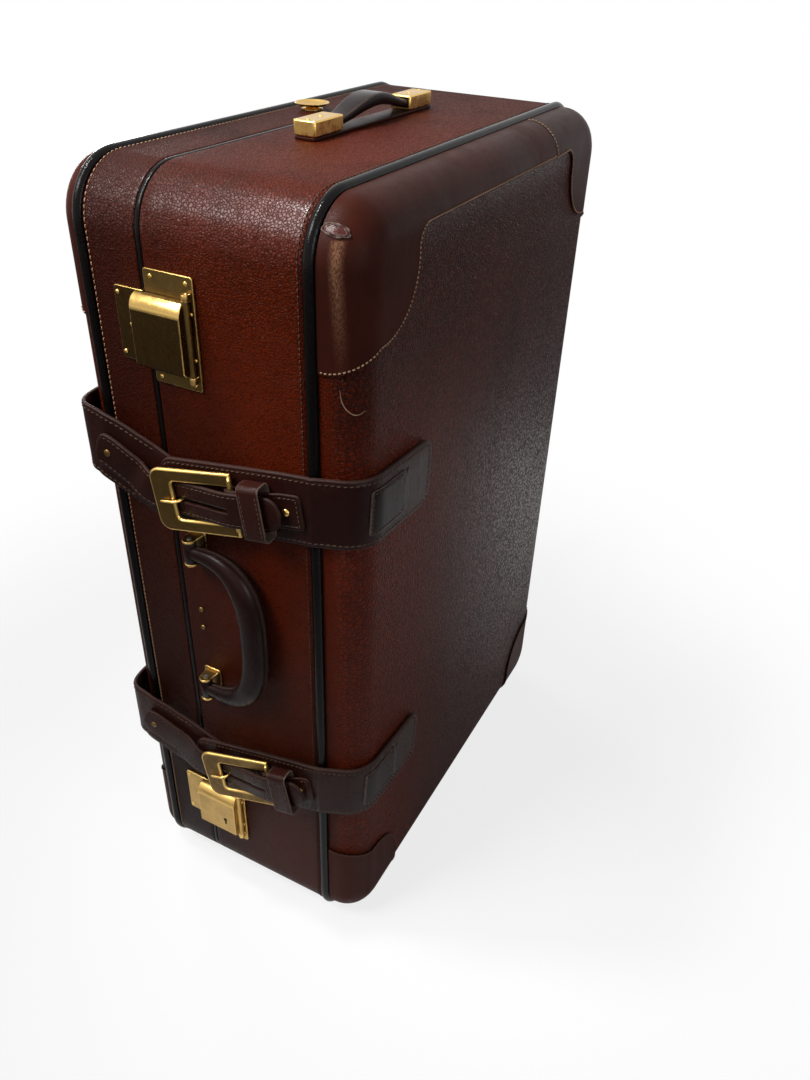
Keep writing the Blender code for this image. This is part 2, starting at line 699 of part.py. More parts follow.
def build_strike(place, frame, tongue_top):
    """The lid's strike plate with its tongue, and the bolt that can enter the tongue's notch."""
    middle = (-SEAM_CLEARANCE - STRIKE_WIDTH / 2, 0)
    outline = rounded_rectangle(STRIKE_WIDTH, STRIKE_HEIGHT, PLATE_ROUND, 3, middle)
    strike = to_mesh(outline_curve(place + "_strike_s", [outline], PLATE_THICKNESS), place + "_lock_strike")
    put(as_part(strike, BRASS), frame, (0, 0, GAP + PLATE_THICKNESS / 2))
    step = HASP_OVERHANG + SEAM_CLEARANCE
    under = PLATE_TOP + TONGUE_LIFT
    side = [
        (-step - 2 * TONGUE_THICKNESS, GAP + PLATE_THICKNESS / 2), (-step, GAP + PLATE_THICKNESS / 2),
        (-step, under), (TONGUE_LENGTH, under), (TONGUE_LENGTH, tongue_top),
        (-step - 2 * TONGUE_THICKNESS, tongue_top),
    ]
    tongue = to_mesh(outline_curve(place + "_tongue_s", [side], TONGUE_WIDTH), place + "_tongue")
    put(as_cutter(tongue), frame, (0, 0, 0), ALONG_Y)
    combine(strike, "UNION", tongue)
    bolt_x = SEAM_CLEARANCE * 2 + BOLT_WIDTH / 2
    notch_half = BOLT_WIDTH / 2 + 2 * GAP
    bolt_top = -TONGUE_WIDTH / 2 - SEAM_CLEARANCE
    notch_top = bolt_top + BOLT_TRAVEL + 2 * GAP
    notch = block(
        place + "_tongue_notch",
        (bolt_x - notch_half, -TONGUE_WIDTH, under - TONGUE_THICKNESS / 2),
        (bolt_x + notch_half, notch_top, tongue_top + TONGUE_THICKNESS),
    )
    put(as_cutter(notch), frame)
    combine(strike, "DIFFERENCE", notch)
    bolt_frame = make_frame(place + "_bolt_slide", frame, (bolt_x, bolt_top, PLATE_TOP + GAP))
    bolt = block(place + "_lock_bolt", (-BOLT_WIDTH / 2, -BOLT_LENGTH, 0), (BOLT_WIDTH / 2, 0, BOLT_THICKNESS))
    put(as_part(bolt, STEEL), bolt_frame)


def build_carry_handle():
    """A C-shaped padded grip that lies on the base's front, on pins in two brackets."""
    axis = make_frame("carry_handle_axis", FRONT, (HANDLE_X, HANDLE_Z, HANDLE_AXIS_LIFT))
    half = HANDLE_SPREAD / 2
    corner = HANDLE_REACH - HANDLE_BEND
    bend = arc((corner, half - HANDLE_BEND), HANDLE_BEND, 90, 0, CORNER_STEPS)
    upper = [(0, half), (corner * 0.5, half)] + bend + [(HANDLE_REACH, half / 5)]
    path = upper + [(x, -y) for x, y in reversed(upper)]
    grown = HANDLE_GRIP_RADIUS / HANDLE_END_RADIUS
    swell = [1.0 + (grown - 1.0) * min(1.0, (x / (corner + HANDLE_BEND * 0.8)) ** 1.3) for x, _ in path]
    tube = tube_curve("grip_tube", [(x, y, 0) for x, y in path], HANDLE_END_RADIUS, swell=swell)
    tube.data.bevel_resolution = 3
    grip = to_mesh(tube, "carry_handle_grip")
    for vertex in grip.data.vertices:
        vertex.co.z *= HANDLE_FLATTEN
    put(as_part(grip, DARK_LEATHER), axis)
    bore = rod("carry_handle_bore", HANDLE_PIN_RADIUS + PIN_CLEARANCE, 2 * HANDLE_SPREAD, 12)
    put(as_cutter(bore), axis, (0, 0, 0), ALONG_Y)
    for way, place in ((1, "upper"), (-1, "lower")):
        barrel = rod(f"{place}_grip_barrel", HANDLE_END_RADIUS, BARREL_LENGTH)
        put(as_cutter(barrel), axis, (0, way * half, 0), ALONG_Y)
        combine(grip, "UNION", barrel)
        build_bracket(place, way * half, axis, bore)
    combine(grip, "DIFFERENCE", bore)


def build_bracket(place, height, axis, bore):
    """A brass foot with two lugs, and the pin through them."""
    lug_at = BARREL_LENGTH / 2 + GAP + BRACKET_LUG / 2
    foot_height = 2 * (lug_at + BRACKET_LUG / 2 + BRACKET_FOOT)
    outline = rounded_rectangle(BRACKET_WIDTH, foot_height, PLATE_ROUND, 3)
    name = place + "_handle_bracket"
    foot = to_mesh(outline_curve(name + "_s", [outline], BRACKET_PLATE), name)
    put(as_part(foot, BRASS), axis, (0, height, GAP + BRACKET_PLATE / 2 - HANDLE_AXIS_LIFT))
    lug = arc((0, 0), HANDLE_END_RADIUS, 0, 180, 8)
    base = GAP + BRACKET_PLATE / 2 - HANDLE_AXIS_LIFT
    spread = BRACKET_WIDTH / 2 - PLATE_ROUND
    lug += [(-spread, base), (spread, base)]
    for way in (-1, 1):
        lug_name = f"{name}_lug_{'low' if way < 0 else 'high'}"
        ear = to_mesh(outline_curve(lug_name, [lug], BRACKET_LUG), lug_name)
        put(as_cutter(ear), axis, (0, height + way * lug_at, 0), ALONG_Y)
        combine(foot, "UNION", ear)
    combine(foot, "DIFFERENCE", bore)
    pin = rod(place + "_handle_pin", HANDLE_PIN_RADIUS, 2 * lug_at + 2 * BRACKET_LUG, 12)
    put(as_part(pin, STEEL), axis, (0, height, 0), ALONG_Y)


def build_end_handle():
    """An arched leather strap held in two hollow brass caps on a base strip, on the top end."""
    frame = make_frame("end_handle_frame", CASE, (END_HANDLE_X, END_HANDLE_Y, CASE_LENGTH / 2))
    outline = rounded_rectangle(END_HANDLE_WIDTH, END_HANDLE_LENGTH, PLATE_ROUND, 3)
    strip = outline_curve("end_handle_base", [outline], END_BASE_THICKNESS)
    put(as_part(strip, PIPING_LEATHER), frame, (0, 0, GAP + END_BASE_THICKNESS / 2))
    floor = 2 * GAP + END_BASE_THICKNESS
    inner_end = END_HANDLE_LENGTH / 2 - CAP_LENGTH
    strap_low = floor + (CAP_HEIGHT - END_STRAP_THICKNESS) / 2
    half_w = END_HANDLE_WIDTH / 2
    for way, place in ((-1, "front"), (1, "back")):
        low_y, high_y = sorted((way * inner_end, way * END_HANDLE_LENGTH / 2))
        cap = block(f"end_handle_{place}_cap", (-half_w, low_y, floor), (half_w, high_y, floor + CAP_HEIGHT))
        rounding = cap.modifiers.new("round", "BEVEL")
        rounding.width = CAP_ROUND
        rounding.segments = 2
        put(as_part(cap, BRASS), frame)
        near, deep = sorted((way * (inner_end - CAP_WALL), way * (inner_end + END_STRAP_ENTRY + GAP)))
        pocket = block(
            f"{place}_cap_pocket",
            (-half_w + CAP_WALL, near, floor + CAP_WALL),
            (half_w - CAP_WALL, deep, floor + CAP_HEIGHT - CAP_WALL),
        )
        put(as_cutter(pocket), frame)
        combine(cap, "DIFFERENCE", pocket)
    reach = inner_end + END_STRAP_ENTRY
    stations = []
    for i in range(25):
        y = -reach + 2 * reach * i / 24
        rise = math.cos(math.pi / 2 * min(1.0, abs(y) / inner_end)) ** 1.5
        low = strap_low + END_STRAP_ARCH * rise
        high = low + END_STRAP_THICKNESS + END_STRAP_FULLNESS * rise
        half = END_STRAP_WIDTH / 2 + END_STRAP_SWELL / 2 * rise
        stations.append([(-half, y, low), (half, y, low), (half, y, high), (-half, y, high)])
    put(as_part(loft("end_handle_strap", stations), DARK_LEATHER), frame)


def build_end_button():
    """A round dished brass fitting on a short neck, turned about its own axis, on the lid's top end."""
    r, h = BUTTON_RADIUS, BUTTON_HEIGHT
    profile = [
        (0, 0.55 * h), (0.55 * r, 0.62 * h), (0.82 * r, 0.80 * h), (0.92 * r, h), (r, 0.97 * h),
        (r, 0.84 * h), (0.80 * r, 0.56 * h), (0.42 * r, 0.38 * h), (0.36 * r, 0.22 * h),
        (0.62 * r, 0.16 * h), (0.62 * r, 0), (0, 0),
    ]
    bm = bmesh.new()
    verts = [bm.verts.new((u, 0, v)) for u, v in profile]
    for a, b in zip(verts, verts[1:]):
        bm.edges.new((a, b))
    mesh = bpy.data.meshes.new("lid_end_button")
    bm.to_mesh(mesh)
    bm.free()
    obj = bpy.data.objects.new("lid_end_button", mesh)
    screw = obj.modifiers.new("turn", "SCREW")
    screw.steps = screw.render_steps = TURNED_SIDES
    screw.use_merge_vertices = True
    screw.merge_threshold = 1e-5
    put(as_part(obj, BRASS), CASE, (-LID_DEPTH / 2, BUTTON_Y, CASE_LENGTH / 2 + GAP))


def build_strap(place, middle, heel_x, tilt, keeper_start):
    """One strap across the front: base half, lid half, billet, chape, keeper, buckle and prong."""
    run = BASE_DEPTH - heel_x
    heel = Vector((heel_x, middle - run * math.tan(tilt)))
    frame = make_frame(place + "_strap_frame", FRONT, (*heel, HEEL_LIFT), (0, STRAP_OUTWARD, tilt))
    build_base_strap(place, middle, heel_x, tilt)
    build_lid_strap(place, middle + LID_STRAP_RAISE)
    build_billet(place, frame, middle + LID_STRAP_RAISE, heel, tilt, keeper_start)
    build_chape(place, frame, run / math.cos(tilt), keeper_start)
    build_keeper(place, frame, keeper_start)
    build_buckle(place, frame)


def build_base_strap(place, middle, heel_x, tilt):
    """From the seam along the front, over the piping, round the panel's roll, to its stitched end."""
    front = -CASE_WIDTH / 2
    lift = HEEL_LIFT - STRAP_STACK
    slope = math.tan(STRAP_OUTWARD)
    flat_end = BASE_DEPTH - 2 * PIPING_RADIUS
    left = STRAP_SEAM_GAP
    flat = []
    for i in range(9):
        x = left + (flat_end - left) * i / 8
        flat.append((x, front - max(STRAP_LIFT, lift + (heel_x - x) * slope)))
    piping_middle = (BASE_DEPTH, front + PIPING_RADIUS - PIPING_PROUD)
    roll_middle = (BASE_DEPTH + BASE_RISE - BASE_ROLL, front + PANEL_INSET + BASE_ROLL)
    near, wide = PIPING_RADIUS + 2 * GAP, BASE_ROLL + 2 * GAP
    apart = Vector(roll_middle) - Vector(piping_middle)
    lean = math.degrees(math.atan2(apart.y, apart.x)) - math.degrees(math.acos((near - wide) / apart.length))
    over = arc(piping_middle, near, -100, lean, 2)
    roll = arc(roll_middle, wide, lean, 0, 7)
    side = BASE_DEPTH + BASE_RISE + 2 * GAP
    back = [(side, roll_middle[1] + (front + STRAP_ANCHOR - roll_middle[1]) * i / 6) for i in range(1, 7)]
    flat_run = [Vector((x, y, 0)) for x, y in flat + over + roll + back]
    corner_at = run_lengths(flat_run)[len(flat) + 1]
    points = spread_ends(flat_run, STRAP_END_ROUND, STRAP_END_ROUND)
    for point, s in zip(points, run_lengths(points)):
        point.z = middle + sagging(corner_at - s, STRAP_SAG_ANCHOR, math.tan(tilt), STRAP_WIDTH / 4)
    widths = rounded_ends(run_lengths(points), STRAP_WIDTH / 2, STRAP_END_ROUND, STRAP_END_ROUND)
    strap = ribbon(place + "_base_strap", points, upright_across(points), widths, STRAP_THICKNESS)
    put(as_part(strap, DARK_LEATHER), CASE)


def lid_strap_control():
    """The run of the lid strap seen from above: along the lid's face, round the corner, forward."""
    front = -CASE_WIDTH / 2
    face = -(LID_DEPTH + LID_RISE + 2 * GAP)
    stand = LID_STRAP_STAND_OFF
    return [
        (face, front + STRAP_ANCHOR, 0), (face, front + STRAP_ANCHOR * 0.6, 0),
        (face - stand * 0.35, front + STRAP_ANCHOR * 0.22, 0), (face, front - stand * 0.45, 0),
        (-LID_DEPTH, front - stand, 0), (-LID_DEPTH * 0.6, front - stand * 0.86, 0),
        (-LID_DEPTH * 0.2, front - stand * 0.58, 0), (LID_STRAP_UNDER, front - stand * 0.34, 0),
    ]


def build_lid_strap(place, middle):
    """From its end on the lid's face, loosely round the front corner, down under the base strap."""
    path = smooth_path(lid_strap_control(), 4)
    corner_at = run_lengths(path)[4 * 4]
    points = spread_ends(path, STRAP_END_ROUND, 0)
    for point, s in zip(points, run_lengths(points)):
        point.z = middle + sagging(s - corner_at, 0.0, LID_STRAP_SLOPE, STRAP_WIDTH / 4)
    widths = rounded_ends(run_lengths(points), STRAP_WIDTH / 2, STRAP_END_ROUND, 0)
    strap = ribbon(place + "_lid_strap", points, upright_across(points), widths, LID_STRAP_THICKNESS)
    put(as_part(strap, DARK_LEATHER), CASE)


def lid_strap_lift(x):
    """How far the outer face of the lid strap stands off the front at a place along X."""
    stops = [(x_at, -CASE_WIDTH / 2 - y_at) for x_at, y_at, _ in lid_strap_control()[4:]]
    for (x0, lift0), (x1, lift1) in zip(stops, stops[1:]):
        if x <= x1:
            return lift0 + (lift1 - lift0) * max(0.0, (x - x0) / (x1 - x0)) + LID_STRAP_THICKNESS
    return stops[-1][1] + LID_STRAP_THICKNESS


def build_billet(place, frame, middle, heel, tilt, keeper_start):
    """The narrow tongue: from the lid strap, under the buckle's bar, over its heel, to its tip."""
    bar_edge = BUCKLE_LENGTH - BUCKLE_BAR
    under = bar_edge * math.sin(BUCKLE_LEAN) - BUCKLE_THICKNESS / 2 - 2 * GAP - BILLET_THICKNESS
    over = HEEL_RADIUS + CHAPE_PLY + 3 * GAP
    turn = Matrix.Rotation(tilt, 2)
    tail = turn.transposed() @ (Vector((-LID_DEPTH, middle)) - heel)
    slope = math.atan(LID_STRAP_SLOPE)
    control = []
    for along, share in ((1.0, 1.0), (0.82, 0.86), (0.63, 0.64), (0.44, 0.38), (0.25, 0.16), (0.08, 0.03)):
        x = -BUCKLE_LENGTH + (tail.x + BUCKLE_LENGTH) * along
        place_at = heel + turn @ Vector((x, tail.y * share))
        line = middle - LID_STRAP_SLOPE * (place_at.x + LID_DEPTH)
        station = place_at.x - (place_at.y - line) * math.cos(slope) * math.sin(slope)
        lift = lid_strap_lift(station) + BILLET_LIFT
        if place_at.x > -STRAP_END_ROUND:
            lift = max(lift, HEEL_LIFT - HEEL_RADIUS - CHAPE_PLY - x * math.sin(STRAP_OUTWARD) + 3 * GAP)
        control.append((x, tail.y * share, lift - HEEL_LIFT + x * math.sin(STRAP_OUTWARD)))
    control += [
        (-bar_edge - BUCKLE_BAR / 2, 0, under), (-bar_edge, 0, under),
        (-bar_edge / 2, 0, (under + over) / 2), (-2 * HEEL_RADIUS, 0, over), (3 * HEEL_RADIUS, 0, over),
        (keeper_start + KEEPER_WIDTH / 2, 0, over - BILLET_SETTLE),
        (keeper_start + KEEPER_WIDTH + BILLET_PAST_KEEPER, 0, over - CHAPE_PLY * 1.5),
    ]
    path = smooth_path(control, 3)
    points = spread_ends(path, 0, BILLET_WIDTH * 0.45, 4)
    across = []
    for i in range(len(points)):
        along = (points[min(i + 1, len(points) - 1)] - points[max(i - 1, 0)]).normalized()
        side = Vector((0, 0, 1)).cross(along).normalized()
        across.append(side)
    widths = rounded_ends(run_lengths(points), BILLET_WIDTH / 2, 0, BILLET_WIDTH * 0.45)
    billet = ribbon(place + "_billet", points, across, widths, BILLET_THICKNESS)
    put(as_part(billet, DARK_LEATHER), frame)
    half = PRONG_RADIUS + 3 * GAP
    hole = block(
        place + "_billet_hole",
        (-BUCKLE_LENGTH + BUCKLE_BAR - 0.006, -half, -BUCKLE_THICKNESS * 2),
        (-BUCKLE_LENGTH + BUCKLE_BAR + 0.010, half, 4 * BUCKLE_THICKNESS),
    )
    put(as_cutter(hole), frame)
    combine(billet, "DIFFERENCE", hole)


def build_chape(place, frame, run, keeper_start):
    """The leather that folds round the heel bar and runs on through the keeper to the corner."""
    inner = HEEL_RADIUS + GAP
    strap_face = -HEEL_RADIUS - CHAPE_PLY - GAP
    keeper_end = keeper_start + KEEPER_WIDTH
    clear_keeper = strap_face + KEEPER_PLY + 2 * GAP
    end = run - CHAPE_END_BACK
    drop = min(keeper_end + 4 * CHAPE_PLY, (keeper_end + end) / 2)
    path = [(CHAPE_RETURN, -inner), (CHAPE_RETURN / 2, -inner)] + arc((0, 0), inner, 270, 90, 8)
    path += [(keeper_start, inner - BILLET_SETTLE), (keeper_end, clear_keeper), (drop, strap_face), (end, strap_face)]
    points = [Vector((u, 0, v)) for u, v in path]
    widths = [CHAPE_WIDTH / 2] * len(points)
    chape = ribbon(place + "_chape", points, [Vector((0, 1, 0))] * len(points), widths, CHAPE_PLY)
    put(as_part(chape, DARK_LEATHER), frame)
    slot = block(
        place + "_chape_slot",
        (-3 * inner, -PRONG_SLOT / 2, -3 * inner), (2.2 * inner, PRONG_SLOT / 2, 3 * inner),
    )
    put(as_cutter(slot), frame)
    combine(chape, "DIFFERENCE", slot)


def build_keeper(place, frame, keeper_start):
    """The loose loop that holds the billet's tip down on the chape."""
    keeper_low = -HEEL_RADIUS - CHAPE_PLY - GAP
    top = HEEL_RADIUS + CHAPE_PLY + BILLET_THICKNESS + KEEPER_PLY + 6 * GAP
    height = CHAPE_WIDTH + 2 * KEEPER_SLACK + 2 * KEEPER_PLY
    middle = (0, (keeper_low + top) / 2)
    outer = rounded_rectangle(height, top - keeper_low, 0.0045, 4, middle)
    hollow = rounded_rectangle(height - 2 * KEEPER_PLY, top - keeper_low - 2 * KEEPER_PLY, 0.003, 4, middle)
    keeper = outline_curve(place + "_keeper", [outer, hollow], KEEPER_WIDTH)
    put(as_part(keeper, DARK_LEATHER), frame, (keeper_start + KEEPER_WIDTH / 2, 0, 0), FACING_X)


def build_buckle(place, frame):
    """A brass frame with a broad front bar and a heel bar, and the prong that turns on the heel."""
    lean = make_frame(place + "_buckle_lean", frame, (0, 0, 0), (0, BUCKLE_LEAN, 0))
    half_h, side = BUCKLE_HEIGHT / 2, BUCKLE_SIDE
    left, right = -BUCKLE_LENGTH, HEEL_RADIUS
    inner_left, inner_top = left + BUCKLE_BAR, half_h - side
    inner_round = BUCKLE_ROUND / 3
    upper = [(right, inner_top), (right, half_h)]
    upper += arc((left + BUCKLE_ROUND, half_h - BUCKLE_ROUND), BUCKLE_ROUND, 90, 180, CORNER_STEPS)
    window = arc((inner_left + inner_round, inner_top - inner_round), inner_round, 180, 90, 3)
    outline = upper + [(u, -v) for u, v in reversed(upper)] + [(u, -v) for u, v in reversed(window)] + window
    name = place + "_buckle_frame"
    buckle = to_mesh(outline_curve(name + "_s", [outline], BUCKLE_THICKNESS), name)
    put(as_part(buckle, BRASS), lean)
    heel = rod(place + "_heel_bar", HEEL_RADIUS, BUCKLE_HEIGHT - side)
    put(as_cutter(heel), lean, (0, 0, 0), ALONG_Y)
    combine(buckle, "UNION", heel)

    rest = BUCKLE_THICKNESS / 2 + PRONG_RADIUS + GAP
    low = -PRONG_BARREL_RADIUS
    clear = PRONG_RADIUS + 2 * GAP
    bend = inner_left
    rail = [
        (-PRONG_BARREL_RADIUS * 0.6, low * 0.2), (bend * 0.4, low), (bend + 4 * clear, low * 1.5),
        (bend + 1.9 * clear, 0), (bend + 0.7 * clear, rest * 0.9), (bend - 1.5 * clear, rest),
        (bend - BUCKLE_BAR * 0.6, rest),
    ]
    path = smooth_path([(u, 0, v) for u, v in rail], 2)
    swell = [1.0 - 0.25 * i / (len(path) - 1) for i in range(len(path))]
    prong = to_mesh(tube_curve(place + "_prong_s", path, PRONG_RADIUS, swell=swell), place + "_prong")
    put(as_part(prong, BRASS), lean)
    barrel = rod(place + "_prong_barrel", PRONG_BARREL_RADIUS, PRONG_BARREL_LENGTH)
    put(as_cutter(barrel), lean, (0, 0, 0), ALONG_Y)
    combine(prong, "UNION", barrel)
    eye = rod(place + "_prong_eye", HEEL_RADIUS + PIN_CLEARANCE, 3 * PRONG_BARREL_LENGTH)
    put(as_cutter(eye), lean, (0, 0, 0), ALONG_Y)
    combine(prong, "DIFFERENCE", eye)


build_shells()
build_patches()
for place, way in (("upper", 1), ("lower", -1)):
    build_hinge(place, way * HINGE_SPREAD / 2)
    build_lock(place, way * LOCK_SPREAD / 2)
build_carry_handle()
build_end_handle()
build_end_button()
build_strap("upper", UPPER_STRAP_Z, UPPER_HEEL_X, UPPER_TILT, UPPER_KEEPER_START)
build_strap("lower", LOWER_STRAP_Z, LOWER_HEEL_X, LOWER_TILT, LOWER_KEEPER_START)
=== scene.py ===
from math import acos, atan, atan2, copysign, cos, degrees, hypot, pi, radians, sin, sqrt, tan

import bmesh
import bpy
import numpy as np
from mathutils import Euler, Matrix, Vector


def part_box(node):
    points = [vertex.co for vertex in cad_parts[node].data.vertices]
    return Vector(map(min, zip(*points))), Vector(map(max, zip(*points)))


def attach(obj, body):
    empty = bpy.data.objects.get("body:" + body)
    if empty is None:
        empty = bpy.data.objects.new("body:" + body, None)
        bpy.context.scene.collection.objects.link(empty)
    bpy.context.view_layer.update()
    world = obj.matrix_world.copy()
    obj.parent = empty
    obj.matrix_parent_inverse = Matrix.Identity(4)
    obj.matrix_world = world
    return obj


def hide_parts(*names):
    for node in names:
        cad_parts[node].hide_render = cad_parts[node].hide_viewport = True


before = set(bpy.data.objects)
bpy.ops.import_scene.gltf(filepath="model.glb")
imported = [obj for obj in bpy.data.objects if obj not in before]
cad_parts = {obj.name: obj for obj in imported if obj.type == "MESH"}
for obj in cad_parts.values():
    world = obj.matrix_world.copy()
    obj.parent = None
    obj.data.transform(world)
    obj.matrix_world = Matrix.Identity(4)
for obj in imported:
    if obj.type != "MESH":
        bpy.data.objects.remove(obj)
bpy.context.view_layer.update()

bl_info = {
    "name": "Leather suitcase",
    "version": (1, 0, 0),
    "blender": (4, 5, 0),
    "location": "View3D > Sidebar > Suitcase",
    "description": "Dresses the packed suitcase: leather, piping, straps, buckles, locks and handles",
    "category": "Object",
}

GAP = 0.0003
gusset_low, gusset_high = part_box("base_gusset")
WIDTH = gusset_high[1] - gusset_low[1]
LENGTH = gusset_high[2] - gusset_low[2]
CASE = Vector((
    gusset_low[0] - GAP, (gusset_low[1] + gusset_high[1]) / 2, (gusset_low[2] + gusset_high[2]) / 2,
))
FRONT = -WIDTH / 2

# Case body, as in the solids
CORNER = 0.040
BASE_DEPTH, LID_DEPTH = 0.123, 0.051
BASE_RISE, LID_RISE = 0.033, 0.015
BASE_ROLL, LID_ROLL = 0.026, 0.009
BASE_WALL, LID_WALL = 0.004, 0.0034
PANEL_INSET, PANEL_WALL = 0.003, 0.004
PIPING, PIPING_PROUD = 0.004, 0.002
BINDING = 0.004
RIM_WALL, RIM_REACH, RIM_SEAT = 0.003, 0.012, 0.020
LINING, LINING_ROUND = 0.0015, 0.003
BASE_PANEL_START = BASE_DEPTH + PIPING + GAP
LID_PANEL_START = LID_DEPTH + PIPING + GAP
BEAD, LINING_SOFT, LEAST_ROLL, LEAST_CORNER = 0.0009, 0.006, 0.003, 0.009
# Shares of the way from a panel's roll to its middle
FACE_SHARES = (0.03, 0.08, 0.16, 0.28, 0.44, 0.64, 0.86, 0.985)

# Corner patches
PATCH_PLY = 0.0012
PATCH_WIDTH, PATCH_HEIGHT, PATCH_ROUND, PATCH_DROOP = 0.076, 0.089, 0.048, 0.5
BAND_HEIGHT, BAND_END, BAND_FILLET = 0.0265, 0.100, 0.012
PATCH_GROW = GAP + PATCH_PLY
FORM_PAST, STITCH_FOOT = 0.01, 0.0006

# The pinched fold, from the panel's mouth and in degrees round the corner, and the curled scuff
FOLD_RUN, FOLD_LENGTH, FOLD_TURN, FOLD_WIDTH = 0.0092, 0.0085, 142.0, 5.6
# Shares of the fold's size, and the lift there
FOLD_SECTION = ((1.0, -0.0004), (0.96, 0.0003), (0.8, 0.0006), (0.55, 0.0004), (0.30, 0.0006), (0.04, 0.0007))
SCUFF = ((-0.2126, 0.2189), (-0.2120, 0.2110), (-0.2104, 0.2055),
         (-0.2078, 0.2022), (-0.2046, 0.2020), (-0.2015, 0.2038))

# Locks
LOCK_SPREAD = 0.463
PLATE_WIDTH, PLATE_HEIGHT, PLATE_SHIFT, PLATE_PLY, PLATE_ROUND = 0.039, 0.077, 0.002, 0.0017, 0.002
PLATE_TOP = GAP + PLATE_PLY
HASP_HEIGHT, HASP_OVERHANG, HASP_RISE, HASP_WALL = 0.050, 0.006, 0.0095, 0.0013
HASP_LIFT, HASP_CHAMFER, HASP_CROWN = 0.0006, 0.003, 0.010
KNUCKLE, HASP_PIN, AXIS_INSET, LUG_LENGTH = 0.0024, 0.0011, 0.0045, 0.005
SEAM_CLEARANCE = 0.0008
STRIKE_WIDTH, STRIKE_HEIGHT = 0.025, 0.050
TONGUE_WIDTH, TONGUE_LENGTH, TONGUE_PLY, TONGUE_LIFT = 0.011, 0.012, 0.0015, 0.0014
BOLT_WIDTH, BOLT_TRAVEL = 0.004, 0.005
# The second number: hasp faces that look up by more than this are made bright, wear on the crown with a
# painted highlight
HASP_EDGE_DROP, HASP_HIGHLIGHT_TILT = 0.001, 0.22
KEY_X, KEY_Z, KEY_RADIUS, KEY_DEPTH = 0.0235, -0.0060, 0.0021, 0.0060
KEY_SLOT_WIDTH, KEY_SLOT_HEIGHT, KEY_SLOT_ROUND, KEY_SLOT_DROP = 0.0020, 0.0070, 0.0008, 0.0030
HASP_AXIS_X = SEAM_CLEARANCE + PLATE_WIDTH - AXIS_INSET
HASP_AXIS_LIFT = PLATE_TOP + KNUCKLE + GAP

# Carry handle
HANDLE_X, HANDLE_Z, HANDLE_SPREAD, HANDLE_REACH = 0.020, -0.003, 0.137, 0.053
GRIP_RADIUS, GRIP_END, GRIP_FLATTEN, GRIP_BEND = 0.0105, 0.0052, 0.86, 0.030
HANDLE_LIFT, HANDLE_PIN, BARREL = 0.0105, 0.0018, 0.018
BRACKET_WIDTH, BRACKET_PLY, BRACKET_LUG, BRACKET_FOOT = 0.016, 0.0015, 0.0018, 0.0025
BARREL_CHAMFER, GRIP_STEP, GRIP_SIDES, GRIP_SQUARE = 0.0008, 0.002, 28, 2.0 / 2.5
# Curvature of the grip's bends, of its swelling, and where its pale seam shows and how much
GRIP_ARCH, GRIP_GROWTH, GRIP_SEAM, GRIP_SEAM_PALE = 0.72, 1.3, 0.985, 0.35
BUMPER_X, BUMPER_HEIGHTS = 0.0146, (0.001, -0.017)

# End handle and button
END_X, END_Y, END_LENGTH, END_WIDTH, END_BASE = 0.037, 0.003, 0.178, 0.018, 0.002
CAP_LENGTH, CAP_HEIGHT, CAP_WALL = 0.038, 0.0105, 0.0014
END_STRAP, END_FULLNESS, END_STRAP_WIDTH = 0.0055, 0.003, 0.014
END_SWELL, END_ARCH, END_ENTRY = 0.006, 0.0075, 0.014
END_ROUND, END_EDGE_PALE, CAP_ROUND, CAP_RIVETS = 0.0018, 0.5, 0.0016, (0.42, 0.86)
BUTTON_RADIUS, BUTTON_HEIGHT, BUTTON_Y = 0.0138, 0.0055, 0.022
# The button from below its foot, over its rim, to the middle of its dish, by radius and height
BUTTON_PROFILE = (
    (0, 0), (0.62, 0), (0.62, 0.14), (0.60, 0.17), (0.40, 0.22), (0.37, 0.30), (0.42, 0.38),
    (0.80, 0.56), (0.96, 0.78), (1, 0.86), (1, 0.94), (0.975, 0.99), (0.93, 1), (0.89, 0.96),
    (0.82, 0.80), (0.70, 0.69), (0.55, 0.62), (0.30, 0.57), (0, 0.55),
)

# Hinge screws: a place on a leaf, (share of its height, shift) of each, and the head's profile
SCREW_X, SCREW_Y, SCREW_SPOTS = 0.0135, 0.0012, ((0.15, 0.003), (0.5, -0.002), (0.85, 0.003))
SCREW_HEAD = ((0.0021, -0.0002), (0.0021, 0.0003), (0.0017, 0.0006), (0.0008, 0.0008), (0, 0.00085))
SCREW_SLOT = ((-0.003, -0.00025, 0.0003), (0.003, 0.00025, 0.002))

# Straps and buckles
STRAP_WIDTH, STRAP_PLY, STRAP_ANCHOR = 0.054, 0.0035, 0.101
STRAP_SAG, STRAP_ROUND, STRAP_SEAM = 0.07, 0.012, 0.004
STRAP_OUTWARD = radians(2.5)
LID_PLY, LID_SLOPE, LID_RAISE, LID_STAND, LID_UNDER = 0.003, 0.52, 0.0075, 0.0095, 0.012
BILLET_WIDTH, BILLET_PLY, BILLET_PAST, BILLET_SETTLE, BILLET_LIFT = 0.027, 0.003, 0.0105, 0.001, 0.0017
CHAPE_WIDTH, CHAPE_PLY, CHAPE_RETURN, CHAPE_BACK, PRONG_SLOT = 0.027, 0.002, 0.0055, 0.004, 0.006
KEEPER_WIDTH, KEEPER_PLY, KEEPER_SLACK = 0.0175, 0.0015, 0.0065
BUCKLE_LENGTH, BUCKLE_HEIGHT, BUCKLE_BAR, BUCKLE_SIDE = 0.064, 0.050, 0.017, 0.010
BUCKLE_PLY, BUCKLE_ROUND, BUCKLE_LEAN = 0.0035, 0.009, radians(4.8)
HEEL, PRONG, PRONG_BARREL, PRONG_BARREL_LENGTH = 0.002, 0.0014, 0.0038, 0.0045
PRONG_CHAMFER, KEEPER_ROUND, KEEPER_SOFT, KEEPER_LINE = 0.0005, 0.003, 0.0005, 0.0006
